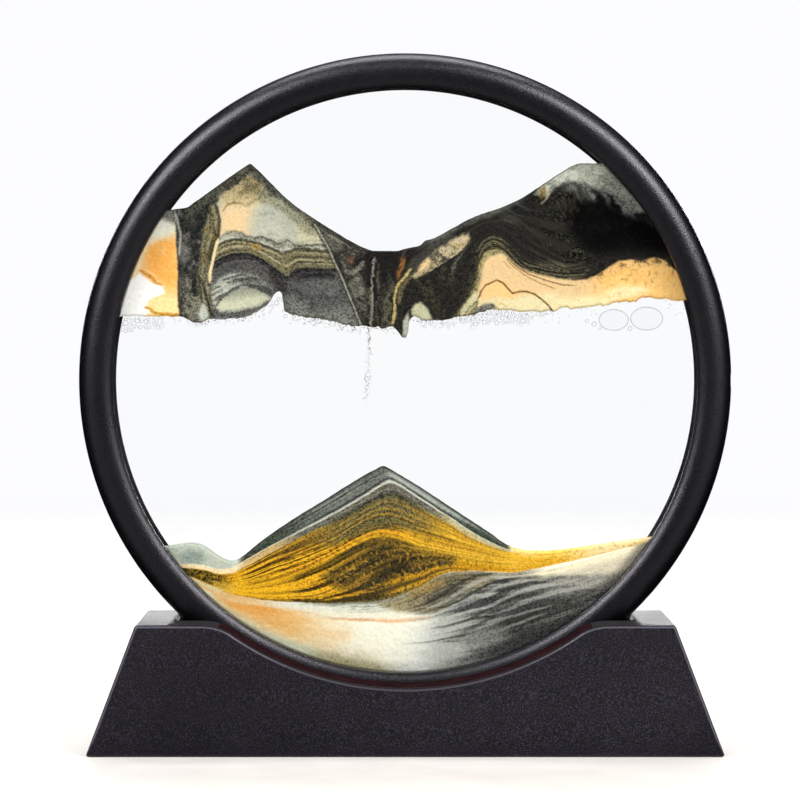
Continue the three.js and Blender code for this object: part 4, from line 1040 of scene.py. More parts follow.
    # cream head, peach below, curls on top
    head = patch([(217, 208), (222, 196), (232, 186), (244, 180), (254, 179), (261, 186), (262.6, 196), (257, 208), (251, 222), (248, 238), (217, 242), (220, 224)], 11.0, 2.6)
    g.lay(zone * head, (214, 194, 156), (192, 168, 126), 0.26)
    g.lay(zone * head * patch([(222, 214), (238, 208), (248, 214), (248, 232), (232, 234), (220, 236)], 9.0) * 0.85, (226, 196, 148), (208, 174, 122), 0.24)
    curls = 1 - step(195, 209, Yw + 5 * n2)
    g.lay(zone * head * curls * 0.8, (168, 155, 116), (132, 120, 86), 0.32)
    g.lay(zone * head * (1 - step(188, 197, Yw + 4 * n2)) * (0.15 + 0.75 * step(238, 248, X)), (112, 104, 74), (72, 66, 46), 0.4)
    g.lay(zone * head * curls * step(-0.04, 0.2, marble(10, 7, 205)) * 0.6, (192, 172, 122), (128, 110, 66), 0.36)
    g.lay(zone * head * curls * step(0.04, 0.24, n3) * 0.55, (128, 112, 68), (76, 66, 42), 0.4)
    for pts, wide in (
        ([(224, 190), (232, 184), (246, 178.6), (255, 180), (260.6, 187), (261.6, 197), (255, 202), (246.4, 206.6)], 1.6),
        ([(222.6, 212), (226, 206.6), (231, 203.4), (237, 202.6), (243.6, 203.6), (246.6, 207.6)], 1.1),
    ):
        g.lay(zone * line(pts, wide, 1.2, 1.4) * 0.6, (138, 120, 72), (80, 70, 44), 0.4)
    g.lay(line([(258, 194), (270, 197), (284, 203), (296, 213), (308, 225), (316, 234)], 11.0, 5.0, 1.6) * 0.62, (132, 132, 106), (84, 82, 64), 0.42)
    g.lay(line([(261, 193), (272, 194.4), (285.5, 197.6), (297, 208), (310, 220), (317, 228)], 4.4, 2.4, 1.2) * 0.6, (118, 118, 94), (70, 68, 54), 0.42)
    # wavy layers
    wavy = zone * step(207, 216, X)
    g.lay(wavy * step(1.0, 1.12, T) * (1 - step(1.9, 2.05, T)), (190, 191, 174), (142, 142, 127), 0.32)
    g.lay(wavy * step(1.05, 1.2, T) * (1 - step(1.9, 2.0, T)) * step(0.04, 0.2, flow(5, 90, 211)) * 0.7, (150, 152, 136), (96, 96, 84), 0.35)
    g.lay(wavy * bump(Yw - e[1] + 1.2 * n3, 0.6, 2.6 + 3 * n2) * (0.5 + 0.38 * step(240, 264, X)), (84, 84, 73), (48, 48, 41), 0.4)
    g.lay(wavy * bump(Yw - e[1] + 1.4 * n3, -3.0, 1.8) * step(262, 290, X) * 0.45, (136, 138, 122), (96, 97, 86), 0.38)
    g.lay(wavy * bump(Yw - e[1] + 2.0 * n2, 4.2, 1.1) * step(222, 240, X) * 0.6, (120, 120, 104), (78, 78, 66), 0.38)
    g.lay(wavy * step(1.95, 2.05, T) * (1 - step(2.95, 3.05, T)), (116, 109, 81), (72, 67, 48), 0.36)
    g.lay(wavy * step(2.0, 2.1, T) * (1 - step(2.9, 3.0, T)) * step(0.0, 0.16, flow(5.5, 120, 213)) * 0.85, (172, 166, 132), (122, 116, 86), 0.34)
    g.lay(wavy * step(2.0, 2.1, T) * (1 - step(2.9, 3.0, T)) * step(0.06, 0.2, -flow(7.5, 110, 215)) * 0.85, (68, 64, 46), (38, 36, 28), 0.4)
    g.lay(wavy * bump(Yw - e[2] + 1.6 * n3, 0.4, 2.6) * 0.92, (62, 58, 43), (36, 34, 27), 0.42)
    for v in (2.42, 2.7):
        g.lay(wavy * bump(T + 0.12 * n2, v, 0.1) * step(286, 300, X) * 0.8, (66, 64, 52), (34, 34, 28), 0.4)
    g.lay(wavy * patch([(251, 242.6), (259, 245), (263, 249.6), (258, 250.6), (252, 247.4)], 2.2) * 0.7, (172, 130, 56), (104, 78, 36), 0.38)
    black = wavy * step(2.93, 3.06, T) * (1 - step(3.85, 4.15, T + 0.2 * n2))
    g.lay(black, (44, 42, 43), BLACK, 0.45)
    g.lay(black * step(0.05, 0.2, flow(6, 60, 217)) * 0.6, (84, 82, 78), (50, 48, 46), 0.4)
    # violet-grey arch, and the grey dome with its arcs
    arch = wavy * step(3.9, 4.15, T)
    g.lay(arch, (86, 85, 82), (56, 56, 54), 0.38)
    g.lay(arch * step(0.0, 0.2, flow(4, 50, 219)) * 0.7, (64, 63, 62), (42, 41, 41), 0.4)
    cx, cy = 247.0, 324.0
    rad = np.hypot((Xw - cx) / 1.22, (Yw - cy))
    turn = np.arctan2(Yw - cy, Xw - cx)
    arcs = fbm(rad / 3.0, turn * 2.0, 221 + seed, 3) - 0.5
    fine = fbm(rad / 1.5, turn * 3.0, 222 + seed, 2) - 0.5
    dome = patch([(210, 322), (209, 300), (214, 286), (222, 277), (234, 272), (248, 272), (260, 277), (270, 286), (276, 295), (270, 303), (262, 312), (250, 320)], 3.0)
    g.lay(dome, (156, 158, 147), (112, 113, 105), 0.32)
    g.lay(dome * step(0.0, 0.2, arcs) * 0.85, (124, 125, 119), (82, 82, 78), 0.38)
    g.lay(dome * step(0.05, 0.22, -arcs) * 0.7, (172, 177, 164), (130, 134, 124), 0.32)
    g.lay(dome * step(0.1, 0.26, fine) * 0.6, (82, 82, 78), (50, 50, 48), 0.4)
    g.lay(dome * step(260, 278, X) * (1 - step(285, 300, Y)) * 0.7, (92, 91, 90), (56, 55, 55), 0.42)
    g.lay(dome * patch([(211, 302), (213, 288), (221, 280), (232, 280), (229, 293), (218, 306)], 3.6) * 0.8, (188, 190, 174), (146, 148, 134), 0.32)
    g.lay(dome * patch([(244, 274), (258, 275), (270, 286), (272, 294), (260, 288), (246, 283)], 4.0) * 0.5, (84, 83, 76), (54, 53, 48), 0.4)
    g.lay(dome * step(0.08, 0.2, fine + 0.5 * arcs) * 0.6, (70, 70, 66), (44, 44, 42), 0.4)
    lens = patch([(216, 308), (220, 302), (226, 296), (233, 291), (242, 288), (252, 288.6), (262, 292.4), (271, 298), (262, 303.4), (248, 308), (234, 310.4), (222, 310.6)], 2.0, 0.8)
    g.lay(lens, (152, 155, 136), (120, 122, 106), 0.3)
    g.lay(lens * step(292, 303, Yw + 0.12 * (X - 240)) * 0.9, (202, 202, 175), (174, 174, 147), 0.25)
    g.lay(lens * step(0.05, 0.2, marble(9, 4, 223)) * 0.4, (166, 170, 150), (130, 132, 116), 0.3)
    g.lay(line([(215, 309), (219, 303), (223, 297.4), (230, 291), (240, 286), (250, 284.6), (258, 286)], 1.0, 0.8) * 0.8, (74, 74, 66), (40, 40, 36), 0.4)
    g.lay(line([(226, 284), (238, 279), (252, 279), (262, 284)], 1.0, 1.0) * 0.5, (84, 84, 80), COAL, 0.4)
    g.lay(patch([(209, 308), (216, 312), (228, 313), (244, 311.4), (258, 307), (270, 301.4), (270, 303), (258, 310), (250, 316), (236, 320), (212, 321), (208, 314)], 1.6) * 0.92, (92, 92, 90), (48, 48, 47), 0.42)
    g.lay(step(2.6, 0.4, bottom - Y) * step(212, 220, X) * (1 - step(262, 268, X)) * 0.7, (168, 172, 166), (110, 112, 108), 0.35)
    # speckled violet-grey mass right of the dome
    mass = patch([(276, 277), (288, 282), (296, 276), (303, 273.6), (333, 271.6), (342, 288), (352, 308), (361, 330), (320, 326), (284, 316), (283, 302), (279, 290)], 2.2)
    g.lay(mass, (86, 86, 83), (56, 56, 54), 0.42)
    g.lay(mass * step(0.0, 0.22, marble(15, 9, 225)) * 0.7, (106, 107, 103), (74, 75, 72), 0.38)
    g.lay(mass * step(0.04, 0.22, -marble(12, 7, 227)) * 0.6, (60, 60, 59), (40, 40, 40), 0.42)
    g.lay(mass * step(300, 322, Y + 0.2 * (X - 320)) * 0.75, (134, 136, 126), (80, 81, 75), 0.42)
    g.lay(mass * patch([(284, 296), (294, 294), (304, 304), (312, 316), (290, 314)], 5.0) * 0.7, (128, 131, 123), (84, 86, 80), 0.4)
    g.lay(mass * (1 - step(274, 283, Yw)) * step(292, 300, X) * 0.9, (40, 38, 40), BLACK, 0.45)
    g.lay(patch([(268, 272), (278, 276), (288, 283), (286, 296), (278, 290), (272, 281)], 3.0) * 0.85, (58, 55, 52), (32, 30, 30), 0.45)

    # ---- dark ground right of the slanting line
    slant = patch([(316, 222), (340, 233), (356, 243), (374, 250), (378, 332), (364, 332), (350, 296), (336, 263)], 1.5, 0.4)
    g.lay(slant, (60, 59, 52), (36, 35, 31), 0.42)
    m3 = marble(9, 13, 231, 1.3)
    wisp = fbm((Y - 0.6 * X) / 4.4 + 3 * n2 + 2 * n1, (X + 0.5 * Y) / 24, 237 + seed, 4) - 0.5
    upper = 1 - step(256, 276, Y + 3 * n2)
    g.lay(slant * upper * step(-0.02, 0.18, wisp) * 0.75, (96, 95, 85), (60, 59, 53), 0.4)
    g.lay(slant * upper * step(0.1, 0.26, wisp) * 0.65, (142, 141, 126), (94, 93, 83), 0.36)
    g.lay(slant * step(-0.02, 0.16, m3) * step(258, 276, Y) * 0.7, (92, 91, 81), (60, 59, 52), 0.4)
    g.lay(slant * step(0.1, 0.24, m3) * step(264, 280, Y) * 0.75, (142, 142, 127), (98, 98, 87), 0.36)
    g.lay(slant * step(0.02, 0.2, -m3) * 0.85, (34, 33, 31), BLACK, 0.45)
    g.lay(slant * vein(7, 18, 233, 0.7, 1.0) * step(260, 276, Y) * 0.7, (30, 29, 27), BLACK, 0.4)
    g.lay(slant * patch([(348, 256), (356, 258), (354, 264), (346, 263)], 2.5) * 0.6, (112, 68, 46), (60, 40, 30), 0.4)
    g.lay(slant * patch([(320, 230), (332, 234), (344, 242), (340, 252), (332, 252), (326, 242)], 4.0) * 0.6, (126, 125, 111), (80, 79, 70), 0.4)
    g.lay(slant * patch([(358, 256), (372, 256), (374, 282), (362, 276)], 4.0) * 0.7, (36, 35, 31), BLACK, 0.45)
    g.lay(slant * line([(328, 235), (342, 242), (352, 248), (360, 252)], 1.8, 1.2) * 0.7, (150, 149, 132), (96, 95, 84), 0.35)
    g.lay(slant * line([(344, 272), (352, 274), (359, 269), (364, 262)], 2.4, 2.0, 1.8) * 0.55, (158, 156, 138), (104, 102, 90), 0.35)
    g.lay(slant * patch([(348, 282), (356, 277), (364, 284), (362, 296), (354, 300)], 3.0) * 0.45, (132, 132, 120), (90, 90, 80), 0.38)
    g.lay(line([(313, 222), (318, 229), (336, 262), (349, 292), (363.5, 328)], 4.0, 1.6, 0.4, 0.02) * 0.65, (56, 56, 51), BLACK, 0.45)
    g.lay(line([(315, 224), (320, 232), (330, 250), (338, 268.6), (348, 291), (362.4, 327)], 1.2, 0.8, 0.5, 0.02) * 0.85, (160, 160, 144), (112, 112, 100), 0.3)

    # ---- streams in the middle
    middle = patch([(366, 247), (384, 250), (402, 249), (403, 270), (398, 300), (402, 338), (392, 334), (368, 332), (367, 300)], 2.0, 0.5)
    g.lay(middle, (32, 31, 28), BLACK, 0.45)
    runs = fbm(X / 4.4 + 3.6 * n1 + 2.4 * n2, Y / 24 + 1.5 * m2, 241 + seed, 4) - 0.5
    g.lay(middle * step(0.0, 0.16, runs) * step(258, 290, Y) * 0.6, (66, 64, 52), (40, 38, 31), 0.42)
    g.lay(middle * step(0.1, 0.22, runs) * step(268, 298, Y) * 0.6, (112, 109, 88), (72, 69, 55), 0.38)
    g.lay(middle * step(0.08, 0.22, -runs) * step(294, 314, Y) * 0.5, (92, 88, 68), (56, 53, 42), 0.4)
    g.lay(line([(375, 257), (373, 268), (371.4, 282), (372.4, 300), (370.6, 327)], 1.2, 1.0, 1.8, 0.04) * 0.75, (170, 170, 152), (112, 112, 100), 0.3)
    g.lay(line([(379, 262), (377, 276), (378.6, 292), (376, 310), (378, 326)], 1.0, 1.2, 2.4) * 0.45, (124, 122, 104), COAL, 0.35)
    g.lay(line([(385, 284), (382.6, 300), (384, 316), (382, 328)], 2.4, 1.6, 1.4) * 0.35, (104, 100, 80), (62, 58, 46), 0.4)

    # ---- dark column and olive streaks at the left
    column = patch([(175, 205), (190, 203), (214, 187), (219, 200), (211, 214), (204, 226), (199, 252), (197, 276), (202, 300), (206, 326), (184, 328), (181, 300), (178, 262), (177.5, 235)], 1.8, 0.8)
    g.lay(column, (56, 56, 53), (34, 34, 32), 0.42)
    m4 = marble(8, 13, 251, 1.1)
    g.lay(column * step(0.02, 0.2, m4) * 0.75, (92, 92, 86), (58, 58, 54), 0.4)
    g.lay(column * step(0.12, 0.26, m4) * 0.7, (134, 134, 126), (90, 90, 84), 0.36)
    g.lay(column * step(0.04, 0.2, -m4) * 0.8, (34, 34, 32), BLACK, 0.45)
    g.lay(column * step(266, 290, Y) * step(-0.14, 0.12, marble(6, 24, 253)) * 0.88, (130, 128, 110), (84, 82, 69), 0.4)
    g.lay(column * patch([(180, 246), (188, 244), (191, 258), (185, 266), (180, 258)], 4.0) * 0.6, (140, 140, 134), (96, 96, 90), 0.35)
    olive = patch([(211, 205), (218, 206), (221, 220), (219, 236), (214, 256), (210, 284), (214, 312), (207, 322), (202, 304), (198, 282), (200, 254), (205, 230)], 1.8, 0.9)
    g.lay(olive, (110, 104, 76), (66, 62, 44), 0.4)
    g.lay(olive * step(256, 272, Y) * 0.8, (134, 131, 110), (88, 85, 70), 0.38)
    rills = fbm(X / 3.0 + 2 * n1 + n2, Y / 22, 255 + seed, 3) - 0.5
    g.lay(olive * step(0.0, 0.18, rills) * 0.85, (66, 62, 44), (36, 34, 26), 0.42)
    g.lay(olive * step(0.06, 0.2, -rills) * 0.75, (148, 146, 118), (100, 98, 76), 0.36)
    g.lay(olive * step(0.1, 0.24, n3) * (1 - step(262, 276, Y)) * step(222, 232, Y) * 0.65, (156, 122, 58), (100, 76, 36), 0.36)
    g.lay(line([(216.6, 206), (220, 218), (219.4, 232), (215.6, 248), (211, 268), (209, 286)], 2.2, 1.2, 0.8, 0.03) * 0.75, (60, 54, 38), (34, 31, 24), 0.4)
    g.lay(line([(219.4, 238), (216, 250), (212.4, 264), (210.4, 274), (210, 284)], 2.4, 0.9, 0.5, 0.12) * 0.95, (232, 214, 168), (190, 168, 116), 0.25)
    g.lay(patch([(199, 313), (203, 304), (206, 306), (209, 320), (201, 322)], 1.6) * 0.85, (200, 206, 194), (150, 154, 146), 0.28)
    g.lay(line([(204, 286), (207, 298), (210, 308), (214, 318)], 1.6, 1.0) * 0.8, (50, 50, 46), BLACK, 0.4)

    # ---- orange patch against the ring
    edge = 1 - step(176.0, 178.4, Xw - 0.03 * (Y - 255))
    g.lay(edge, (246, 198, 130), (238, 174, 96), 0.28)
    g.lay(edge * patch([(150, 270), (146, 262), (150, 248), (160, 240), (172, 240), (179, 250), (180, 285), (170, 288), (160, 280)], 4.0), (243, 176, 90), (232, 152, 64), 0.26)
    g.lay(edge * step(0.02, 0.2, marble(9, 8, 261)) * 0.5, (250, 200, 126), (240, 172, 88), 0.25)
    g.lay(edge * (1 - step(232, 244, Yw + 0.3 * (X - 165))), (232, 232, 214), (204, 204, 186), 0.26)
    g.lay(edge * (1 - step(217, 226, Yw + 0.4 * (170 - X))), (124, 125, 120), (80, 80, 77), 0.4)
    g.lay(edge * step(3, -6, X - 148 + 0.35 * (Y - 250)) * step(236, 246, Y) * 0.8, (246, 240, 214), (236, 216, 160), 0.26)
    g.lay(edge * step(290, 300, Yw) * 0.8, (252, 224, 164), (246, 200, 126), 0.26)
    g.lay(patch([(112, 320), (112, 292), (134, 279), (140, 273), (148, 279), (156, 285), (158, 281), (163, 286.6), (166, 293), (155, 297), (149, 300.6), (146, 307), (150, 311), (142, 320)], 1.6, 0.9), (255, 255, 253), (250, 250, 247), 0.2)
    g.lay(edge * line([(139, 271), (146, 274), (152, 277), (157, 283), (163, 285.4)], 2.0, 1.4, 1.2) * 0.75, (206, 140, 52), (150, 96, 36), 0.35)
    g.lay(edge * line([(144, 307.4), (150, 308.4), (154, 312), (162, 314), (172, 314.4), (182, 315.4)], 2.0, 1.2, 1.2) * 0.85, (206, 152, 48), (140, 92, 28), 0.35)
    g.lay(line([(175.6, 212), (178, 220), (180.4, 231), (181, 244), (180, 256)], 1.8, 0.9, 0.5) * 0.85, (168, 170, 164), (116, 118, 112), 0.3)

    # ---- right mass: black dome with curved layers
    rightm = patch([(402, 262), (410, 245), (426, 237), (451, 225), (499, 203), (540, 181), (580, 157), (700, 157), (700, 330), (402, 330)], 1.4, 0.3)
    g.lay(rightm, (22, 21, 19), (40, 39, 35), 0.32)
    arcs_lines = [
        [(400, 262), (450, 232), (500, 211), (540, 187), (580, 164), (700, 160)],
        [(400, 290), (450, 246), (470, 229), (484, 222), (500, 219), (516, 222), (534, 232), (552, 244), (572, 252), (590, 246), (610, 232), (640, 224), (700, 214)],
        [(400, 310), (440, 280), (468, 246), (480, 234), (492, 230), (506, 236), (524, 250), (545, 262), (566, 270), (582, 270), (594, 263), (608, 255), (640, 246), (700, 244)],
        [(400, 330), (440, 312), (468, 280), (478, 260), (484, 246), (494, 240), (506, 246), (516, 257), (528, 267), (545, 270), (572, 273), (588, 273), (600, 268), (616, 260), (650, 255), (700, 254)],
        [(400, 333), (440, 316), (468, 288), (478, 268), (486, 254), (500, 250.6), (508, 256), (518, 266), (530, 271.6), (545, 276.4), (570, 280.4), (586, 279), (600, 272), (616, 266), (650, 260), (700, 260)],
    ]
    e = [curve(X, c) for c in arcs_lines]
    for k in range(1, len(e)):
        e[k] = np.maximum(e[k], e[k - 1] + 0.3)
    S = np.zeros(X.shape)
    for k in range(len(e) - 1):
        S = np.where(Yw >= e[k], k + np.clip((Yw - e[k]) / (e[k + 1] - e[k]), 0, 1), S)
    rings = fbm(S * 6.0 + 2, X / 80 + n1, 271 + seed, 3) - 0.5
    rings2 = fbm(S * 13.0 + 7, X / 60 + n1, 273 + seed, 2) - 0.5
    lined = rightm * step(0.25, 0.8, S) * (1 - step(556, 612, X + 14 * (S - 2.4))) * step(446, 474, X)
    strong = 0.16 + 0.84 * step(2.1, 2.9, S)
    g.lay(lined * (0.4 + 0.6 * step(1.5, 2.3, S)) * step(0.0, 0.18, rings) * 0.85, (72, 70, 60), (46, 45, 39), 0.4)
    g.lay(lined * strong * step(0.06, 0.24, rings2) * 0.8, (110, 106, 88), (66, 63, 51), 0.4)
    g.lay(lined * step(2.3, 3.0, S) * step(-0.02, 0.16, rings2) * 0.85, (122, 114, 80), (68, 63, 44), 0.42)
    g.lay(lined * step(2.9, 3.1, S) * step(-0.04, 0.12, rings) * 0.8, (168, 156, 110), (104, 94, 62), 0.38)
    g.lay(lined * step(0.06, 0.2, -rings2) * 0.6, (34, 33, 30), BLACK, 0.45)
    g.lay(patch([(538, 262), (560, 261), (582, 263), (592, 271), (578, 279), (556, 277), (540, 272)], 4.5) * step(-0.1, 0.14, rings2) * 0.8, (112, 106, 82), (68, 64, 49), 0.4)
    skin = rightm * (1 - step(2, 8, d + 5 * n2)) * (1 - step(500, 540, X)) * step(408, 436, X)
    g.lay(skin * 0.8, (102, 102, 95), (62, 62, 57), 0.4)
    g.lay(skin * step(0.0, 0.2, marble(18, 5, 275)) * 0.6, (62, 62, 58), (38, 38, 35), 0.42)
    streaks = fbm((Y - 0.5 * X) / 3.0 + 3 * n1, X / 70, 277 + seed, 3) - 0.5
    g.lay(rightm * (1 - step(12, 30, d)) * step(490, 512, X) * (1 - step(520, 540, X)) * step(0.04, 0.2, streaks) * 0.5, (92, 92, 84), (56, 56, 51), 0.42)
    speckled = patch([(530, 214), (540, 204), (552, 194), (566, 186), (580, 187), (596, 196), (600, 216), (604, 244), (592, 262), (570, 264), (552, 250), (536, 234)], 9.0)
    g.lay(speckled * (0.3 + 0.55 * step(546, 574, X)), (7, 7, 5), (62, 61, 51), 0.28)
    g.lay(speckled * step(0.02, 0.2, rings2) * 0.5, (50, 49, 42), (26, 25, 22), 0.4)
    g.lay(speckled * step(0.1, 0.28, n3) * 0.4, (44, 43, 36), (84, 82, 68), 0.3)
    core = patch([(568, 214), (575, 200), (588, 192), (604, 192), (622, 206), (646, 216), (690, 226), (690, 256), (640, 250), (612, 252), (596, 254), (583, 246), (571, 232)], 9.0)
    g.lay(core, (4, 4, 4), (2, 2, 2), 0.45)
    g.lay(core * step(0.05, 0.25, marble(13, 11, 279)) * 0.35, (22, 20, 18), (12, 11, 10), 0.45)
    g.lay(patch([(562, 200), (576, 194), (585, 212), (580, 228), (566, 226)], 7.0) * step(0.06, 0.26, n3) * 0.6, (68, 52, 32), (38, 32, 24), 0.45)
    g.lay(core * step(0.2, 0.34, n3) * step(586, 606, X) * 0.4, (34, 48, 54), (20, 30, 34), 0.4)
    cap = patch([(536, 194), (546, 179), (562, 168), (578, 157), (604, 157), (630, 182), (652, 210), (664, 224), (646, 212), (630, 207), (618, 197), (604, 190.6), (592, 187), (584, 184.6), (574, 182.4), (564, 182.6), (555, 186), (546, 196)], 3.6, 2.0)
    g.lay(cap, (174, 176, 162), (130, 131, 120), 0.32)
    g.lay(cap * step(0.0, 0.2, marble(11, 8, 281)) * 0.8, (136, 138, 126), (92, 93, 85), 0.36)
    g.lay(cap * step(0.08, 0.24, -marble(9, 7, 283)) * 0.7, (202, 204, 190), (160, 162, 150), 0.3)
    g.lay(cap * step(590, 622, X + 0.4 * (Y - 180)) * 0.8, (124, 125, 117), (78, 79, 74), 0.38)
    drips = fbm((0.85 * X - 0.53 * Y) / 4.6 + 1.6 * n2, (0.53 * X + 0.85 * Y) / 13.0 + 1.2 * m2, 285 + seed, 3) - 0.5
    fringe = patch([(564, 189), (568, 181), (582, 181), (606, 188), (632, 203), (654, 216), (664, 227), (650, 223), (634, 217), (622, 213), (611, 206), (600, 198), (590, 202), (580, 201), (574, 193), (568, 192)], 5.0)
    g.lay(fringe * step(-0.24, 0.14, drips) * 0.85, (104, 105, 101), (62, 62, 60), 0.4)
    g.lay(fringe * step(0.04, 0.3, drips) * 0.6, (132, 134, 125), (92, 93, 86), 0.36)
    g.lay(patch([(577, 187), (588, 187), (597, 193), (592, 201), (583, 201)], 4.0, 2.0) * 0.6, (100, 101, 94), (60, 60, 56), 0.42)
    g.lay(patch([(597, 196), (600.4, 191.6), (603, 196), (605, 203), (599, 204)], 2.6, 1.0) * 0.7, (12, 12, 12), (6, 6, 6), 0.45)
    g.lay(patch([(540.6, 189), (545, 187), (547, 191), (544.6, 197), (541.4, 200), (540, 195)], 2.0, 1.4) * 0.8, (132, 106, 54), (84, 64, 34), 0.4)
    g.lay(line([(546, 188), (548.6, 193), (546.6, 199), (541, 205)], 1.2, 1.2, 1.2) * 0.65, (186, 178, 142), (136, 128, 94), 0.32)

    # ---- cream streak, and what hangs under it
    g.lay(line([(408, 284), (420, 266), (438, 252), (464, 238)], 16, 5, 0.8, 0.2) * 0.65, (84, 83, 74), (48, 47, 42), 0.42)
    blob = patch([(400, 298), (403, 288), (415, 276), (430, 270), (446, 263), (452, 272), (456, 258), (470, 240), (480, 250), (478, 276), (470, 296), (456, 314), (436, 322), (424, 318), (412, 318), (408, 326), (404, 338), (397, 330)], 2.0)
    g.lay(blob * 0.95, (42, 40, 34), BLACK, 0.45)
    m5 = marble(9, 10, 291, 1.1)
    g.lay(blob * step(0.08, 0.26, m5) * 0.5, (62, 58, 43), (38, 36, 28), 0.42)
    g.lay(blob * step(0.18, 0.32, m5) * 0.4, (92, 87, 66), (58, 54, 41), 0.4)
    g.lay(blob * step(466, 482, X + 0.3 * (Y - 280)) * 0.6, (96, 92, 66), (56, 53, 38), 0.42)
    streak = patch([(412, 277), (419, 267), (429, 256.6), (440, 248.6), (452, 241), (462, 234.6), (468, 232.4), (470, 238), (465, 249.6), (453, 259), (440, 266.4), (428, 272), (416, 279)], 2.2, 1.5)
    g.lay(streak * step(-0.4, -0.08, m5 + 0.5 * n3), (192, 178, 144), (146, 132, 100), 0.34)
    g.lay(streak * step(0.06, 0.22, marble(7, 5, 295, 1.4)) * 0.6, (106, 98, 74), (62, 57, 44), 0.4)
    g.lay(streak * step(0.0, 0.2, marble(8, 4, 293)) * 0.65, (172, 154, 104), (116, 100, 60), 0.34)
    g.lay(streak * patch([(419, 264), (428, 257), (432, 261), (424, 270), (418, 271)], 2.4) * 0.85, (228, 196, 146), (190, 150, 96), 0.28)
    g.lay(line([(428, 273.6), (439, 268), (451, 260.6), (463, 252), (471, 243)], 1.6, 1.0, 1.4) * 0.85, (30, 29, 26), BLACK, 0.4)
    g.lay(patch([(452, 275), (453, 266), (458, 257), (466, 249), (472, 241), (469, 250), (462, 258), (457, 268)], 1.6, 1.4) * 0.7, (124, 122, 104), (76, 74, 62), 0.38)
    g.lay(line([(455, 271), (459.6, 261), (466, 252), (473, 243)], 1.4, 1.2, 1.0, 0.3) * 0.8, (24, 23, 21), BLACK, 0.4)
    g.lay(line([(436, 266), (443, 262), (450, 259.6)], 1.6, 1.8, 1.8, 0.4) * 0.5, (126, 124, 104), (80, 78, 64), 0.36)
    g.lay(line([(411, 276), (402, 288), (399, 304)], 2.6, 1.8) * 0.6, (140, 128, 88), (84, 76, 50), 0.36)
    g.lay(patch([(412, 310), (416, 303.6), (422, 302.6), (428, 309), (433, 319.6), (422, 321.6), (414, 319)], 1.8) * 0.9, (204, 203, 168), (160, 158, 120), 0.3)
    g.lay(patch([(403, 320), (408, 313), (411, 318), (410, 332), (407, 339), (403, 336)], 1.3) * 0.9, (184, 188, 172), (130, 134, 122), 0.3)
    g.lay(line([(479, 294), (472, 302), (462, 315)], 6.0, 2.4, 1.0, 0.1) * 0.85, (206, 202, 164), (150, 146, 106), 0.32)
    g.lay(line([(478, 300), (470, 308), (464, 316)], 1.2, 0.9, 1.0) * 0.7, (120, 116, 84), COAL, 0.35)
    # orange vein and the cream thread below it
    g.lay(line([(411, 269), (405.6, 276.6), (399.4, 284), (395.8, 293), (395, 304), (395.2, 314), (393, 325)], 1.7, 1.0, 0.9, 0.04) * 0.88, (206, 186, 118), (138, 118, 66), 0.32)
    g.lay(line([(405, 258), (402.6, 266), (399.4, 274), (398, 280)], 3.0, 1.8, 1.6, 0.25) * 0.8, (146, 98, 50), (92, 62, 34), 0.38)
    g.lay(patch([(400, 258), (406, 257), (405, 263), (401.6, 266)], 2.2, 1.6) * 0.6, (158, 104, 50), (104, 68, 36), 0.36)

    # ---- cream and peach band
    band = patch([(479, 294), (481.6, 278), (484, 264), (489, 257), (496, 255), (503, 253), (508, 257.4), (517, 266), (526, 270.6), (540, 275), (556, 278), (574, 280), (588, 279.6), (598, 275), (608, 268), (620, 261.6), (632, 260), (642, 262), (654, 258), (666, 261), (674, 270), (684, 276), (700, 282), (700, 330), (476, 330)], 1.6, 1.0)
    g.lay(band, (220, 190, 143), (205, 171, 120), 0.28)
    g.lay(band * step(0.02, 0.2, marble(16, 9, 301)) * 0.6, (228, 190, 138), (216, 170, 112), 0.28)
    right = band * step(578, 612, X + 10 * n1)
    g.lay(right * 0.95, (240, 194, 120), (230, 170, 92), 0.26)
    g.lay(right * step(0.0, 0.2, marble(14, 8, 303)) * 0.6, (238, 180, 100), (224, 154, 74), 0.26)
    g.lay(right * (1 - step(2, 12, Y - curve(X, arcs_lines[4]) + 4 * n2)) * 0.6, (214, 176, 116), (150, 116, 66), 0.35)
    g.lay(band * step(0.16, 0.28, n3) * step(565, 600, X) * (1 - step(280, 294, Y)) * 0.5, (168, 120, 60), (110, 78, 40), 0.3)
    near = bump(Y - curve(X, [(585, 280), (598, 275), (608, 268), (620, 261.6), (632, 260), (642, 262), (654, 258), (666, 261), (674, 270), (700, 282)]), 1.0, 7.0) * step(586, 600, X)
    g.lay(near * step(-0.08, 0.2, n3 + 0.5 * n2) * 0.75, (84, 70, 44), (44, 38, 27), 0.5)
    g.lay(band * patch([(606, 292), (622, 286), (640, 286), (650, 290), (638, 296), (614, 300)], 4) * 0.85, (246, 224, 178), (242, 206, 146), 0.24)
    g.lay(band * step(293, 303, Yw + 0.06 * (X - 560)) * step(530, 560, X) * (1 - step(606, 622, X)) * 0.9, (232, 220, 174), (222, 204, 146), 0.28)
    lower = band * (1 - step(2.0, 11, Y - curve(X, arcs_lines[3]))) * step(500, 512, X) * (1 - step(584, 600, X))
    g.lay(lower * step(-0.02, 0.12, rings2 + 0.4 * rings) * 0.85, (176, 156, 108), (112, 96, 60), 0.36)
    g.lay(band * step(294, 303, Yw + 0.12 * (X - 500)) * (1 - step(548, 566, X)) * 0.9, (222, 213, 170), (206, 190, 140), 0.28)
    g.lay(band * patch([(486, 287), (497, 280.4), (506, 284), (513, 292), (528, 291), (514, 298), (494, 296), (484, 299)], 3.0) * 0.8, (238, 194, 128), (228, 172, 100), 0.26)
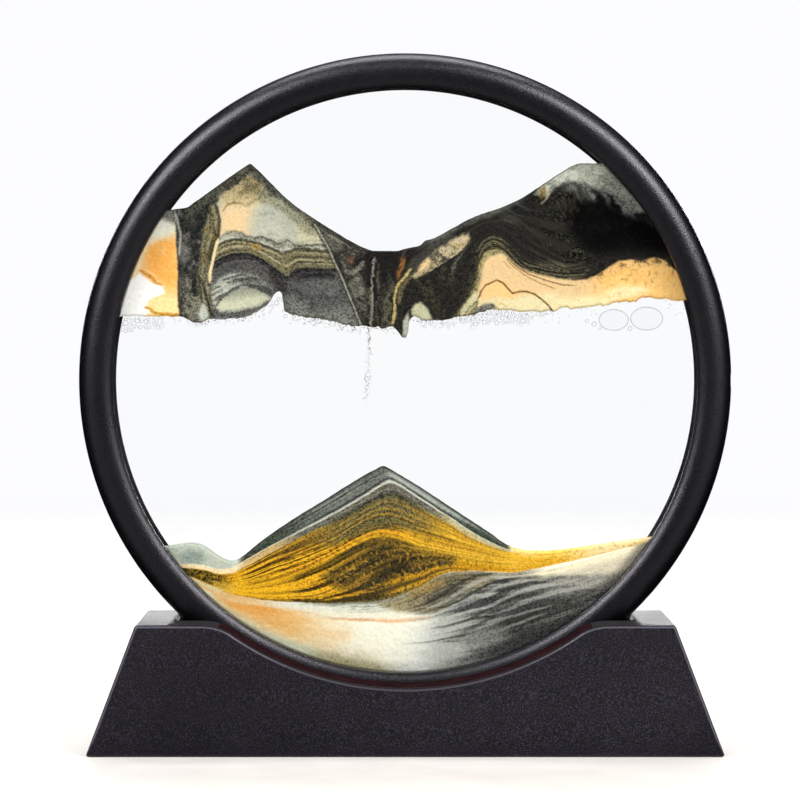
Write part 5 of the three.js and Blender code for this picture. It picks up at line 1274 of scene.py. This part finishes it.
    g.lay(line([(478.4, 299), (482, 291), (487, 284.6), (497.6, 280.4), (503, 283), (508, 288), (513, 293.6), (519, 292), (527, 291.6), (535, 294), (542, 299), (549, 306), (554.4, 313)], 1.2, 0.7, 0.5, 0.03) * 0.92, (116, 82, 38), (72, 50, 24), 0.32)
    g.lay(line([(507, 257), (518, 267.6), (530, 274.6), (545, 280), (562, 284.6), (576, 286)], 0.9, 0.7, 0.5) * 0.8, (126, 98, 56), (78, 58, 32), 0.34)
    g.lay(line([(506, 258), (514, 267), (526, 276), (540, 283), (556, 289)], 0.8, 0.7, 0.5) * 0.6, (140, 112, 66), (90, 68, 38), 0.34)
    g.lay(line([(504, 261), (508, 266), (512, 269)], 1.0, 0.8) * 0.6, (186, 146, 100), BROWN, 0.25)
    g.lay(band * vein(16, 9, 305, 0.86, 1.0) * 0.4, (190, 156, 104), (140, 108, 64), 0.3)
    g.lay(patch([(473, 315), (478, 307), (486, 303), (494, 303.6), (497, 308), (490, 311), (482, 315)], 1.8) * 0.9, (112, 112, 104), (58, 58, 54), 0.42)

    # ---- dark skin along the left peak, and a thin dark edge on top
    thick = 12.5 - 8.0 * step(256, 298, X)
    skin = (1 - step(thick - 4, thick + 2.5, d + 6 * n2 + 4 * n3)) * step(180, 190, X) * (1 - step(298, 322, X))
    g.lay(skin * 0.94, (80, 80, 70), (46, 46, 40), 0.44)
    g.lay(skin * step(0.0, 0.2, n3) * 0.6, (108, 108, 94), (64, 64, 55), 0.4)
    g.lay(skin * step(0.05, 0.22, -marble(10, 7, 311)) * 0.6, (52, 52, 47), (30, 30, 27), 0.45)
    tail = (1 - step(4, 10, d + 4 * n2)) * step(328, 350, X) * (1 - step(350, 376, X))
    g.lay(tail * 0.85, (50, 49, 46), BLACK, 0.45)
    g.lay((1 - step(0.2, 1.5, d)) * (1 - step(562, 578, X)) * 0.8, (48, 48, 44), BLACK, 0.45)
    g.lay((1 - step(0.2, 1.4, d)) * step(562, 578, X) * 0.7, (112, 113, 106), (76, 77, 72), 0.4)
    # grains loosened along the lower edge
    g.lay(step(4, 0.5, bottom - Y) * step(0.02, 0.2, n3) * (1 - step(470, 490, X)) * step(184, 200, X) * 0.6, (150, 152, 144), (96, 97, 92), 0.4)
    return g.soften()


# ---------------------------------------------------------------- sand, froth and liquid between the panes
FILL_R, FILL_HALF = 80.1, 1.72
K, MID_X, MID_Y = 0.27262, 405.6, 380.2         # millimetres in one unit of the layout, and the ring's axis in it
to_x = lambda u: (u - MID_X) * K
to_z = lambda v: RING_Z - (v - MID_Y) * K


def sand_material():
    """Grains of two colours in the share that each point asks for, each grain a little lighter or darker."""
    m = Nodes("coloured_sand")
    p = m.place()
    a = m.add("ShaderNodeAttribute", attribute_type="GEOMETRY", attribute_name="grain_a").outputs["Color"]
    b = m.add("ShaderNodeAttribute", attribute_type="GEOMETRY", attribute_name="grain_b").outputs["Color"]
    share = m.add("ShaderNodeAttribute", attribute_type="GEOMETRY", attribute_name="grain_share").outputs["Fac"]
    cells = m.add("ShaderNodeTexVoronoi", {"Scale": 1 / (0.34 * MM), "Vector": p})
    pick = m.add("ShaderNodeSeparateColor", {"Color": cells.outputs["Color"]})
    other = m.math("ADD", m.math("DIVIDE", m.math("SUBTRACT", share, pick.outputs[0]), 0.16), 0.5, clamp=True)
    colour = m.mix(other, a, b)
    tone = m.add("ShaderNodeHueSaturation", {"Color": colour, "Value": m.ramp(pick.outputs[1], 0.0, 1.0, 0.945, 1.055)})
    bump_ = m.add("ShaderNodeBump", {"Strength": 0.22, "Distance": 0.08 * MM, "Height": cells.outputs["Distance"]})
    bump_.invert = True
    s = m.principled(Base_Color=tone.outputs[0], Roughness=m.ramp(pick.outputs[2], 0.0, 1.0, 0.72, 0.95), Normal=bump_.outputs[0])
    s.inputs["Specular IOR Level"].default_value = 0.05
    return m.surface(s)


def froth_material():
    """Air in liquid: clear in the middle, grey at the rim where it bends the light away."""
    m = Nodes("froth_air")
    p = m.place()
    n = m.noise(900.0, 2.0, 0.5, p)
    facing = m.add("ShaderNodeLayerWeight").outputs["Facing"]
    rim = m.math("MULTIPLY", m.math("POWER", facing, 2.4), m.ramp(n, 0.3, 0.7, 0.75, 1.1), clamp=True)
    see = m.add("ShaderNodeBsdfTransparent")
    see.inputs["Color"].default_value = (0.985, 0.985, 0.99, 1)
    dark = m.add("ShaderNodeBsdfTransparent")
    dark.inputs["Color"].default_value = (0.1, 0.1, 0.11, 1)
    shine = m.add("ShaderNodeBsdfGlossy", {"Roughness": m.ramp(n, 0.3, 0.7, 0.04, 0.1)})
    edge = m.add("ShaderNodeMixShader", {1: dark.outputs[0], 2: shine.outputs[0]})
    edge.inputs[0].default_value = 0.08
    return m.surface(m.add("ShaderNodeMixShader", {0: rim, 1: see.outputs[0], 2: edge.outputs[0]}))


MAT_SAND = sand_material()
MAT_FROTH = froth_material()


def colour_points(me, a, b, share):
    """Stores two grain colours and their share on a mesh's points."""
    for name, c in (("grain_a", a), ("grain_b", b)):
        rgba_ = np.ones((len(c), 4), np.float32)
        rgba_[:, :3] = linear(np.clip(c, 0, 255))
        me.attributes.new(name, "FLOAT_COLOR", "POINT").data.foreach_set("color", rgba_.ravel())
    me.attributes.new("grain_share", "FLOAT", "POINT").data.foreach_set("value", np.clip(share, 0, 1).astype(np.float32))


def circle_z(x, r=FILL_R):
    return np.sqrt(np.maximum(r * r - x * x, 0.0))


def slab(name, x, top, bottom, rows, back_rows, half, edge, relief, seed):
    """A layer between the panes from bottom(x) to top(x), with a crisp front, a coarser back and rounded edges.
    Gives the object, and the points' places in the layout."""
    grids = []
    for side, n_rows, step_x in ((-1, rows, 1), (1, back_rows, 2)):
        xs, hi, lo = x[::step_x], top[::step_x], bottom[::step_x]
        if xs[-1] != x[-1]:
            xs, hi, lo = np.append(xs, x[-1]), np.append(hi, top[-1]), np.append(lo, bottom[-1])
        t = np.linspace(0, 1, n_rows)
        t = t + 0.06 * np.sin(2 * math.pi * t) / (2 * math.pi) * -1
        X = np.repeat(xs[:, None], n_rows, 1)
        Z = hi[:, None] + (lo - hi)[:, None] * t[None, :]
        slope_hi = np.gradient(hi, xs)[:, None]
        slope_lo = np.gradient(lo, xs)[:, None]
        d = np.minimum((hi[:, None] - Z) / np.sqrt(1 + slope_hi**2), (Z - lo[:, None]) / np.sqrt(1 + slope_lo**2))
        q = np.clip(d / edge, 0, 1)
        Y = 0.35 + (half - 0.35) * np.sqrt(1 - (1 - q) ** 2)
        if relief:
            Y = Y - relief * fbm(X / 0.9, Z / 0.9, seed + 5 * (side > 0), 2) * q
        grids.append((X, side * Y, Z))
    verts, faces, start = [], [], []
    total = 0
    for X, Y, Z in grids:
        start.append(total)
        verts.append(np.stack([X.ravel(), Y.ravel(), RING_Z + Z.ravel()], -1))
        total += X.size
    for g, (X, Y, Z) in enumerate(grids):
        nc, nr = X.shape
        i = np.arange((nc - 1) * nr).reshape(nc - 1, nr)[:, :-1].ravel() + start[g]
        quad = np.stack([i, i + 1, i + nr + 1, i + nr], -1)
        faces.append(quad if g == 0 else quad[:, ::-1])
    quads = np.concatenate(faces).tolist()

    def border(g):
        nc, nr = grids[g][0].shape
        s = start[g]
        return [
            [s + c * nr for c in range(nc)],
            [s + (nc - 1) * nr + r for r in range(nr)],
            [s + c * nr + nr - 1 for c in range(nc - 1, -1, -1)],
            [s + r for r in range(nr - 1, -1, -1)],
        ]

    v = np.concatenate(verts)
    for fine, coarse in zip(border(0), border(1)):
        # walk both edges together, closing the gap between the front and the back
        along = lambda e: np.concatenate([[0], np.cumsum(np.linalg.norm(np.diff(v[e][:, [0, 2]], axis=0), axis=1) + 1e-9)])
        a, b = along(fine), along(coarse)
        a, b = a / a[-1], b / b[-1]
        i = j = 0
        while i < len(fine) - 1 or j < len(coarse) - 1:
            if j == len(coarse) - 1 or (i < len(fine) - 1 and a[i + 1] <= b[j + 1] + 1e-9):
                quads.append((fine[i], fine[i + 1], coarse[j]))
                i += 1
            else:
                quads.append((fine[i], coarse[j + 1], coarse[j]))
                j += 1
    me = bpy.data.meshes.new(name)
    me.from_pydata((v * MM).tolist(), [], quads)
    me.update()
    ob = link(name, me)
    bm = bmesh.new()
    bm.from_mesh(me)
    bmesh.ops.recalc_face_normals(bm, faces=bm.faces)
    if bm.calc_volume(signed=True) < 0:
        bmesh.ops.reverse_faces(bm, faces=bm.faces)
    bm.to_mesh(me)
    bm.free()
    split = grids[0][0].size
    return shade(ob, None), v, split


def paint(ob, v, split, painter):
    """Colours a slab: the front from the layout as it stands, the back with its own flow."""
    u, w = MID_X + v[:, 0] / K, MID_Y - (v[:, 2] - RING_Z) / K
    parts = [painter(u[:split], w[:split], 0), painter(u[split:], w[split:], 500)]
    colour_points(ob.data, *[np.concatenate([getattr(g, k) for g in parts]) for k in ("a", "b", "p")])


def height(points, x):
    """A layout curve as height over the ring's axis."""
    return -(curve(MID_X + x / K, points) - MID_Y) * K


x = np.linspace(-78.2, 77.3, 601)
ragged = fbm(x / 0.9 + 60, x * 0 + 2, 301, 3) - 0.5
hi = np.minimum(height(UP_TOP, x) + 0.16 * (fbm(x / 0.8, x * 0, 302, 2) - 0.5), circle_z(x))
lo = np.minimum(height(UP_BOTTOM, x) + 0.7 * ragged, hi - 0.25)
sand, v, split = slab("sand_upper", x, hi, lo, 161, 61, FILL_HALF, 0.8, 0.16, 303)
paint(sand, v, split, upper_sand)
piece(sand, "contents", ["upper_sand"], MAT_SAND)
upper_hi, upper_lo, upper_x = hi, lo, x

x = np.linspace(-65.7, 67.7, 541)
hi = np.minimum(height(LOW_TOP, x) + 0.14 * (fbm(x / 0.8, x * 0 + 7, 311, 2) - 0.5), circle_z(x))
lo = np.minimum(-circle_z(x), hi - 0.25)
hi = np.maximum(hi, lo + 0.25)
sand, v, split = slab("sand_lower", x, hi, lo, 181, 71, FILL_HALF, 0.8, 0.16, 313)
paint(sand, v, split, lower_sand)
piece(sand, "contents", ["lower_sand"], MAT_SAND)
lower_hi, lower_x = hi, x

# liquid above the upper sand, and between the froth and the hill
x = np.linspace(-65.0, 58.0, 165)
hi = circle_z(x) - 0.05
lo = np.minimum(np.interp(x, upper_x, upper_hi) + 0.45, hi - 0.2)
liquid, v, split = slab("liquid_upper", x, hi, lo, 16, 8, 1.74, 0.6, 0.0, 0)
piece(liquid, "contents", ["upper_liquid"], MAT_LIQUID)
x = np.linspace(-79.5, 79.5, 165)
hi = np.minimum(np.full(len(x), 12.1) + 0.25 * (fbm(x / 6, x * 0 + 1, 321, 2) - 0.5), circle_z(x))
lo = np.maximum(np.where((x > -65.7) & (x < 67.7), np.interp(x, lower_x, lower_hi) + 0.45, -90.0), -circle_z(x))
lo = np.minimum(lo, hi - 0.2)
liquid, v, split = slab("liquid_lower", x, hi, lo, 16, 8, 1.74, 0.6, 0.0, 0)
piece(liquid, "contents", ["lower_liquid"], MAT_LIQUID)


# ---------------------------------------------------------------- froth: air bubbles caught under the upper sand
def ball(around, rings):
    v = [(0.0, 0.0, 1.0)]
    for i in range(1, rings):
        t = math.pi * i / rings
        v += [(math.sin(t) * math.cos(2 * math.pi * k / around), math.sin(t) * math.sin(2 * math.pi * k / around), math.cos(t)) for k in range(around)]
    v.append((0.0, 0.0, -1.0))
    f = [(0, 1 + k, 1 + (k + 1) % around) for k in range(around)]
    for i in range(rings - 2):
        for k in range(around):
            l = (k + 1) % around
            f.append((1 + i * around + k, 1 + (i + 1) * around + k, 1 + (i + 1) * around + l, 1 + i * around + l))
    last = len(v) - 1
    f += [(last, last - around + (k + 1) % around, last - around + k) for k in range(around)]
    return np.array(v), f


def gather(name, solids):
    """Many small closed solids in one mesh."""
    verts, faces, n = [], [], 0
    for v, f in solids:
        verts.append(v)
        faces += [tuple(i + n for i in q) for q in f]
        n += len(v)
    return link(name, mesh_of(name, np.concatenate(verts), faces))


def froth(name, fields, big, seed):
    """Bubbles thrown into fields [x0, x1, depth under the sand, count, least and most radius], round the big ones."""
    rng = np.random.default_rng(seed)
    placed = [(to_x(u), to_z(w), r * K) for u, w, r in big]
    for u0, u1, deep, count, r0, r1 in fields:
        tries = 0
        while count > 0 and tries < 6000:
            tries += 1
            xx = to_x(rng.uniform(u0, u1))
            r = r0 + (r1 - r0) * rng.random() ** 2.2
            roof = RING_Z + float(np.interp(xx, upper_x, upper_lo)) - 0.15
            zz = roof - r - rng.random() ** 1.35 * max(deep * K - 2 * r, 0.05)
            if zz - r < RING_Z + 12.65 or math.hypot(xx, zz - RING_Z) + r > FILL_R - 0.2:
                continue
            if any(math.hypot(xx - a, zz - b) < (r + c) * 0.97 for a, b, c in placed):
                continue
            placed.append((xx, zz, r))
            count -= 1
    small, large = ball(14, 9), ball(40, 26)
    solids = []
    for xx, zz, r in placed:
        v, f = large if r > 0.9 else small
        deep = min(r, 1.62)
        at = 0.0 if r > 1.2 else rng.uniform(-1.0, 1.0) * (1.65 - deep)
        p = np.stack([v[:, 0] * r, v[:, 2] * deep, v[:, 1] * r], -1)
        if r > 1.7:
            # pressed flat between the panes, with a round edge
            s = np.hypot(v[:, 0], v[:, 1])
            flat = np.sign(v[:, 2]) * np.abs(v[:, 2]) ** 0.55 * deep
            k = np.where(s > 1e-6, (r - deep + deep * s**1.0) / r, 1.0)
            p = np.stack([v[:, 0] * r * np.where(s > 0, k, 1), flat, v[:, 1] * r * np.where(s > 0, k, 1)], -1)
            p[s < 1e-6, 0] = p[s < 1e-6, 2] = 0.0
            p[:, 2] *= 0.72
        solids.append((p + [xx, at, zz], f))
    ob = gather(name, solids)
    return shade(outward(ob), None)


left_froth = froth(
    "froth_left",
    [(120, 134, 16, 16, 0.42, 0.72), (134, 150, 13, 16, 0.42, 0.7), (150, 163, 10, 8, 0.36, 0.6), (120, 164, 13, 26, 0.2, 0.36), (170, 262, 7, 16, 0.16, 0.34), (262, 292, 13, 16, 0.24, 0.55), (292, 358, 7, 22, 0.2, 0.42)],
    [(126, 323, 2.8), (137, 321, 2.5), (146, 321.6, 2.2), (277, 303, 2.6)],
    71,
)
piece(left_froth, "contents", ["air_pocket_left"], MAT_FROTH)
right_froth = froth(
    "froth_right",
    [(418, 446, 8, 14, 0.3, 0.56), (446, 472, 9, 16, 0.3, 0.56), (472, 488, 12, 13, 0.4, 0.72), (488, 508, 15, 22, 0.42, 0.82), (508, 528, 13, 17, 0.4, 0.78), (528, 546, 9, 6, 0.26, 0.5), (470, 530, 14, 24, 0.18, 0.34), (546, 604, 15, 14, 0.14, 0.3), (664, 690, 16, 12, 0.14, 0.28)],
    [(614.5, 320, 15), (647.5, 318.6, 16.4), (595, 324, 2.6), (588, 321, 1.9), (631, 328.4, 2.4), (600.6, 328, 1.7), (516, 319, 2.4), (503, 318, 2.4), (493, 320, 2.2), (482, 319, 2.0)],
    72,
)
piece(right_froth, "contents", ["air_pocket_right"], MAT_FROTH)

# ---------------------------------------------------------------- trickle: loose grains falling from the middle
rng = np.random.default_rng(81)
grain_v, grain_f = ball(6, 4)
solids, tones = [], []
for k in range(150):
    w = 328 + 74 * rng.random() ** 1.5
    u = 368.4 + rng.normal(0, 0.7 + 0.016 * (w - 328)) + 1.2 * math.sin(w / 13)
    r = rng.uniform(0.07, 0.17)
    squash = rng.uniform(0.7, 1.25, 3)
    solids.append((grain_v * r * squash + [to_x(u), rng.uniform(-0.45, 0.45), to_z(w)], grain_f))
    tones += [rng.choice([0, 1, 2], p=[0.5, 0.3, 0.2])] * len(grain_v)
for u0, u1, count, deep in ((186, 258, 90, 5.0), (292, 362, 150, 8.0), (362, 396, 50, 6.0), (414, 470, 60, 4.0), (470, 560, 60, 7.0)):
    for k in range(count):
        u = rng.uniform(u0, u1)
        r = rng.uniform(0.06, 0.15)
        fall = rng.random() ** 1.8 * deep * K
        squash = rng.uniform(0.7, 1.25, 3)
        under = RING_Z + float(np.interp(to_x(u), upper_x, upper_lo)) - 0.05 - fall
        solids.append((grain_v * r * squash + [to_x(u), rng.uniform(-1.4, 1.4), under], grain_f))
        tones += [rng.choice([3, 1, 2], p=[0.62, 0.3, 0.08])] * len(grain_v)
stream = shade(outward(gather("sand_trickle", solids)), None)
tones = np.array(tones + [0] * max(0, len(stream.data.vertices) - len(tones)))[: len(stream.data.vertices)]
shades = np.array([(168, 160, 152), (120, 112, 104), (214, 196, 168), (62, 60, 56)], float)[tones]
colour_points(stream.data, shades, shades * 0.8, np.full(len(shades), 0.25))
piece(stream, "contents", ["sand_stream"], MAT_SAND)

# ---------------------------------------------------------------- floor, world and light
floor_section = [(0, 0), (0.15, 0), (0.3, 0), (0.5, 0), (0.8, 0), (1.2, 0), (1.8, 0)]
segs = 96
verts = [(0.0, 0.0, 0.0)] + [(r * math.cos(2 * math.pi * k / segs), r * math.sin(2 * math.pi * k / segs), 0.0) for r, _ in floor_section[1:] for k in range(segs)]
faces = [(0, 1 + k, 1 + (k + 1) % segs) for k in range(segs)]
for i in range(len(floor_section) - 2):
    faces += [(1 + i * segs + k, 1 + (i + 1) * segs + k, 1 + (i + 1) * segs + (k + 1) % segs, 1 + i * segs + (k + 1) % segs) for k in range(segs)]
floor = link("floor", mesh_of("floor", verts, faces, 1.0))
m = Nodes("floor_paint")
p = m.place()
away = m.add("ShaderNodeVectorMath", {0: p}, operation="LENGTH").outputs["Value"]
fade = m.add("ShaderNodeMapRange", {"Value": away, "From Min": 0.22, "From Max": 1.3, "To Min": 0.0, "To Max": 1.0}, interpolation_type="SMOOTHERSTEP").outputs[0]
paper = m.noise(60.0, 4.0, 0.6, p)
body = m.principled(Base_Color=m.mix(m.ramp(paper, 0.3, 0.7), rgba(226, 222, 217), rgba(231, 227, 222)), Roughness=m.ramp(paper, 0.3, 0.7, 0.5, 0.6))
none = m.add("ShaderNodeBsdfTransparent")
floor.data.materials.append(m.surface(m.add("ShaderNodeMixShader", {0: fade, 1: body.outputs[0], 2: none.outputs[0]})))
floor.visible_glossy = False

world = bpy.data.worlds.new("studio")
scene.world = world
world.use_nodes = True
tree = world.node_tree
tree.nodes.clear()
path = tree.nodes.new("ShaderNodeLightPath")
pale, fill, dim = (tree.nodes.new("ShaderNodeBackground") for _ in range(3))
pale.inputs[0].default_value, pale.inputs[1].default_value = (0.975, 0.98, 1.0, 1), 1.0
fill.inputs[0].default_value, fill.inputs[1].default_value = (1.0, 0.99, 0.985, 1), 0.46
dim.inputs[0].default_value, dim.inputs[1].default_value = (0.9, 0.9, 1.0, 1), 0.05
world.cycles_visibility.glossy = False
glossy, seen = tree.nodes.new("ShaderNodeMixShader"), tree.nodes.new("ShaderNodeMixShader")
tree.links.new(path.outputs["Is Glossy Ray"], glossy.inputs[0])
tree.links.new(fill.outputs[0], glossy.inputs[1])
tree.links.new(dim.outputs[0], glossy.inputs[2])
tree.links.new(path.outputs["Is Camera Ray"], seen.inputs[0])
tree.links.new(glossy.outputs[0], seen.inputs[1])
tree.links.new(pale.outputs[0], seen.inputs[2])
tree.links.new(seen.outputs[0], tree.nodes.new("ShaderNodeOutputWorld").inputs[0])


def softbox(name, at, target, size_x, size_y, power, colour=(1, 1, 1), gloss_only=False):
    data = bpy.data.lights.new(name, "AREA")
    data.shape, data.size, data.size_y, data.energy, data.color = "RECTANGLE", size_x, size_y, power, colour
    ob = link(name, data)
    ob.location = at
    ob.visible_camera = False
    ob.visible_diffuse = not gloss_only
    ob.rotation_euler = (Vector(target) - Vector(at)).to_track_quat("-Z", "Y").to_euler()
    return ob


softbox("overhead", (0.0, 0.34, 0.98), (0.0, 0.0, 0.12), 0.7, 0.26, 4.6)
softbox("left_box", (-0.66, -0.54, 0.76), (0.0, 0.0, 0.10), 0.48, 0.48, 8.2)
softbox("right_box", (0.66, -0.54, 0.76), (0.0, 0.0, 0.10), 0.48, 0.48, 9.2)
softbox("right_front", (0.50, -0.80, 0.12), (0.05, 0.0, 0.05), 0.36, 0.30, 0.2)
softbox("left_halo", (-0.70, -0.57, 0.80), (0.0, 0.0, 0.10), 0.72, 0.72, 3.0, (1, 1, 1), True)
softbox("right_halo", (0.70, -0.57, 0.80), (0.0, 0.0, 0.10), 0.72, 0.72, 3.4, (1, 1, 1), True)
softbox("rear_strip", (0.0, 1.15, 0.28), (0.0, 0.0, 0.05), 1.1, 0.12, 3.6)
softbox("bounce", (0.0, -0.27, 0.002), (0.0, -0.27, 1.0), 0.9, 0.46, 0.34, (1.0, 0.96, 0.97), True)
softbox("left_wall", (-0.90, -0.36, 0.14), (0.0, 0.0, 0.10), 0.5, 0.6, 0.28, (0.97, 0.97, 1.0), True)
softbox("right_wall", (0.90, -0.36, 0.14), (0.0, 0.0, 0.10), 0.5, 0.6, 0.34, (0.97, 0.97, 1.0), True)

bpy.context.view_layer.update()
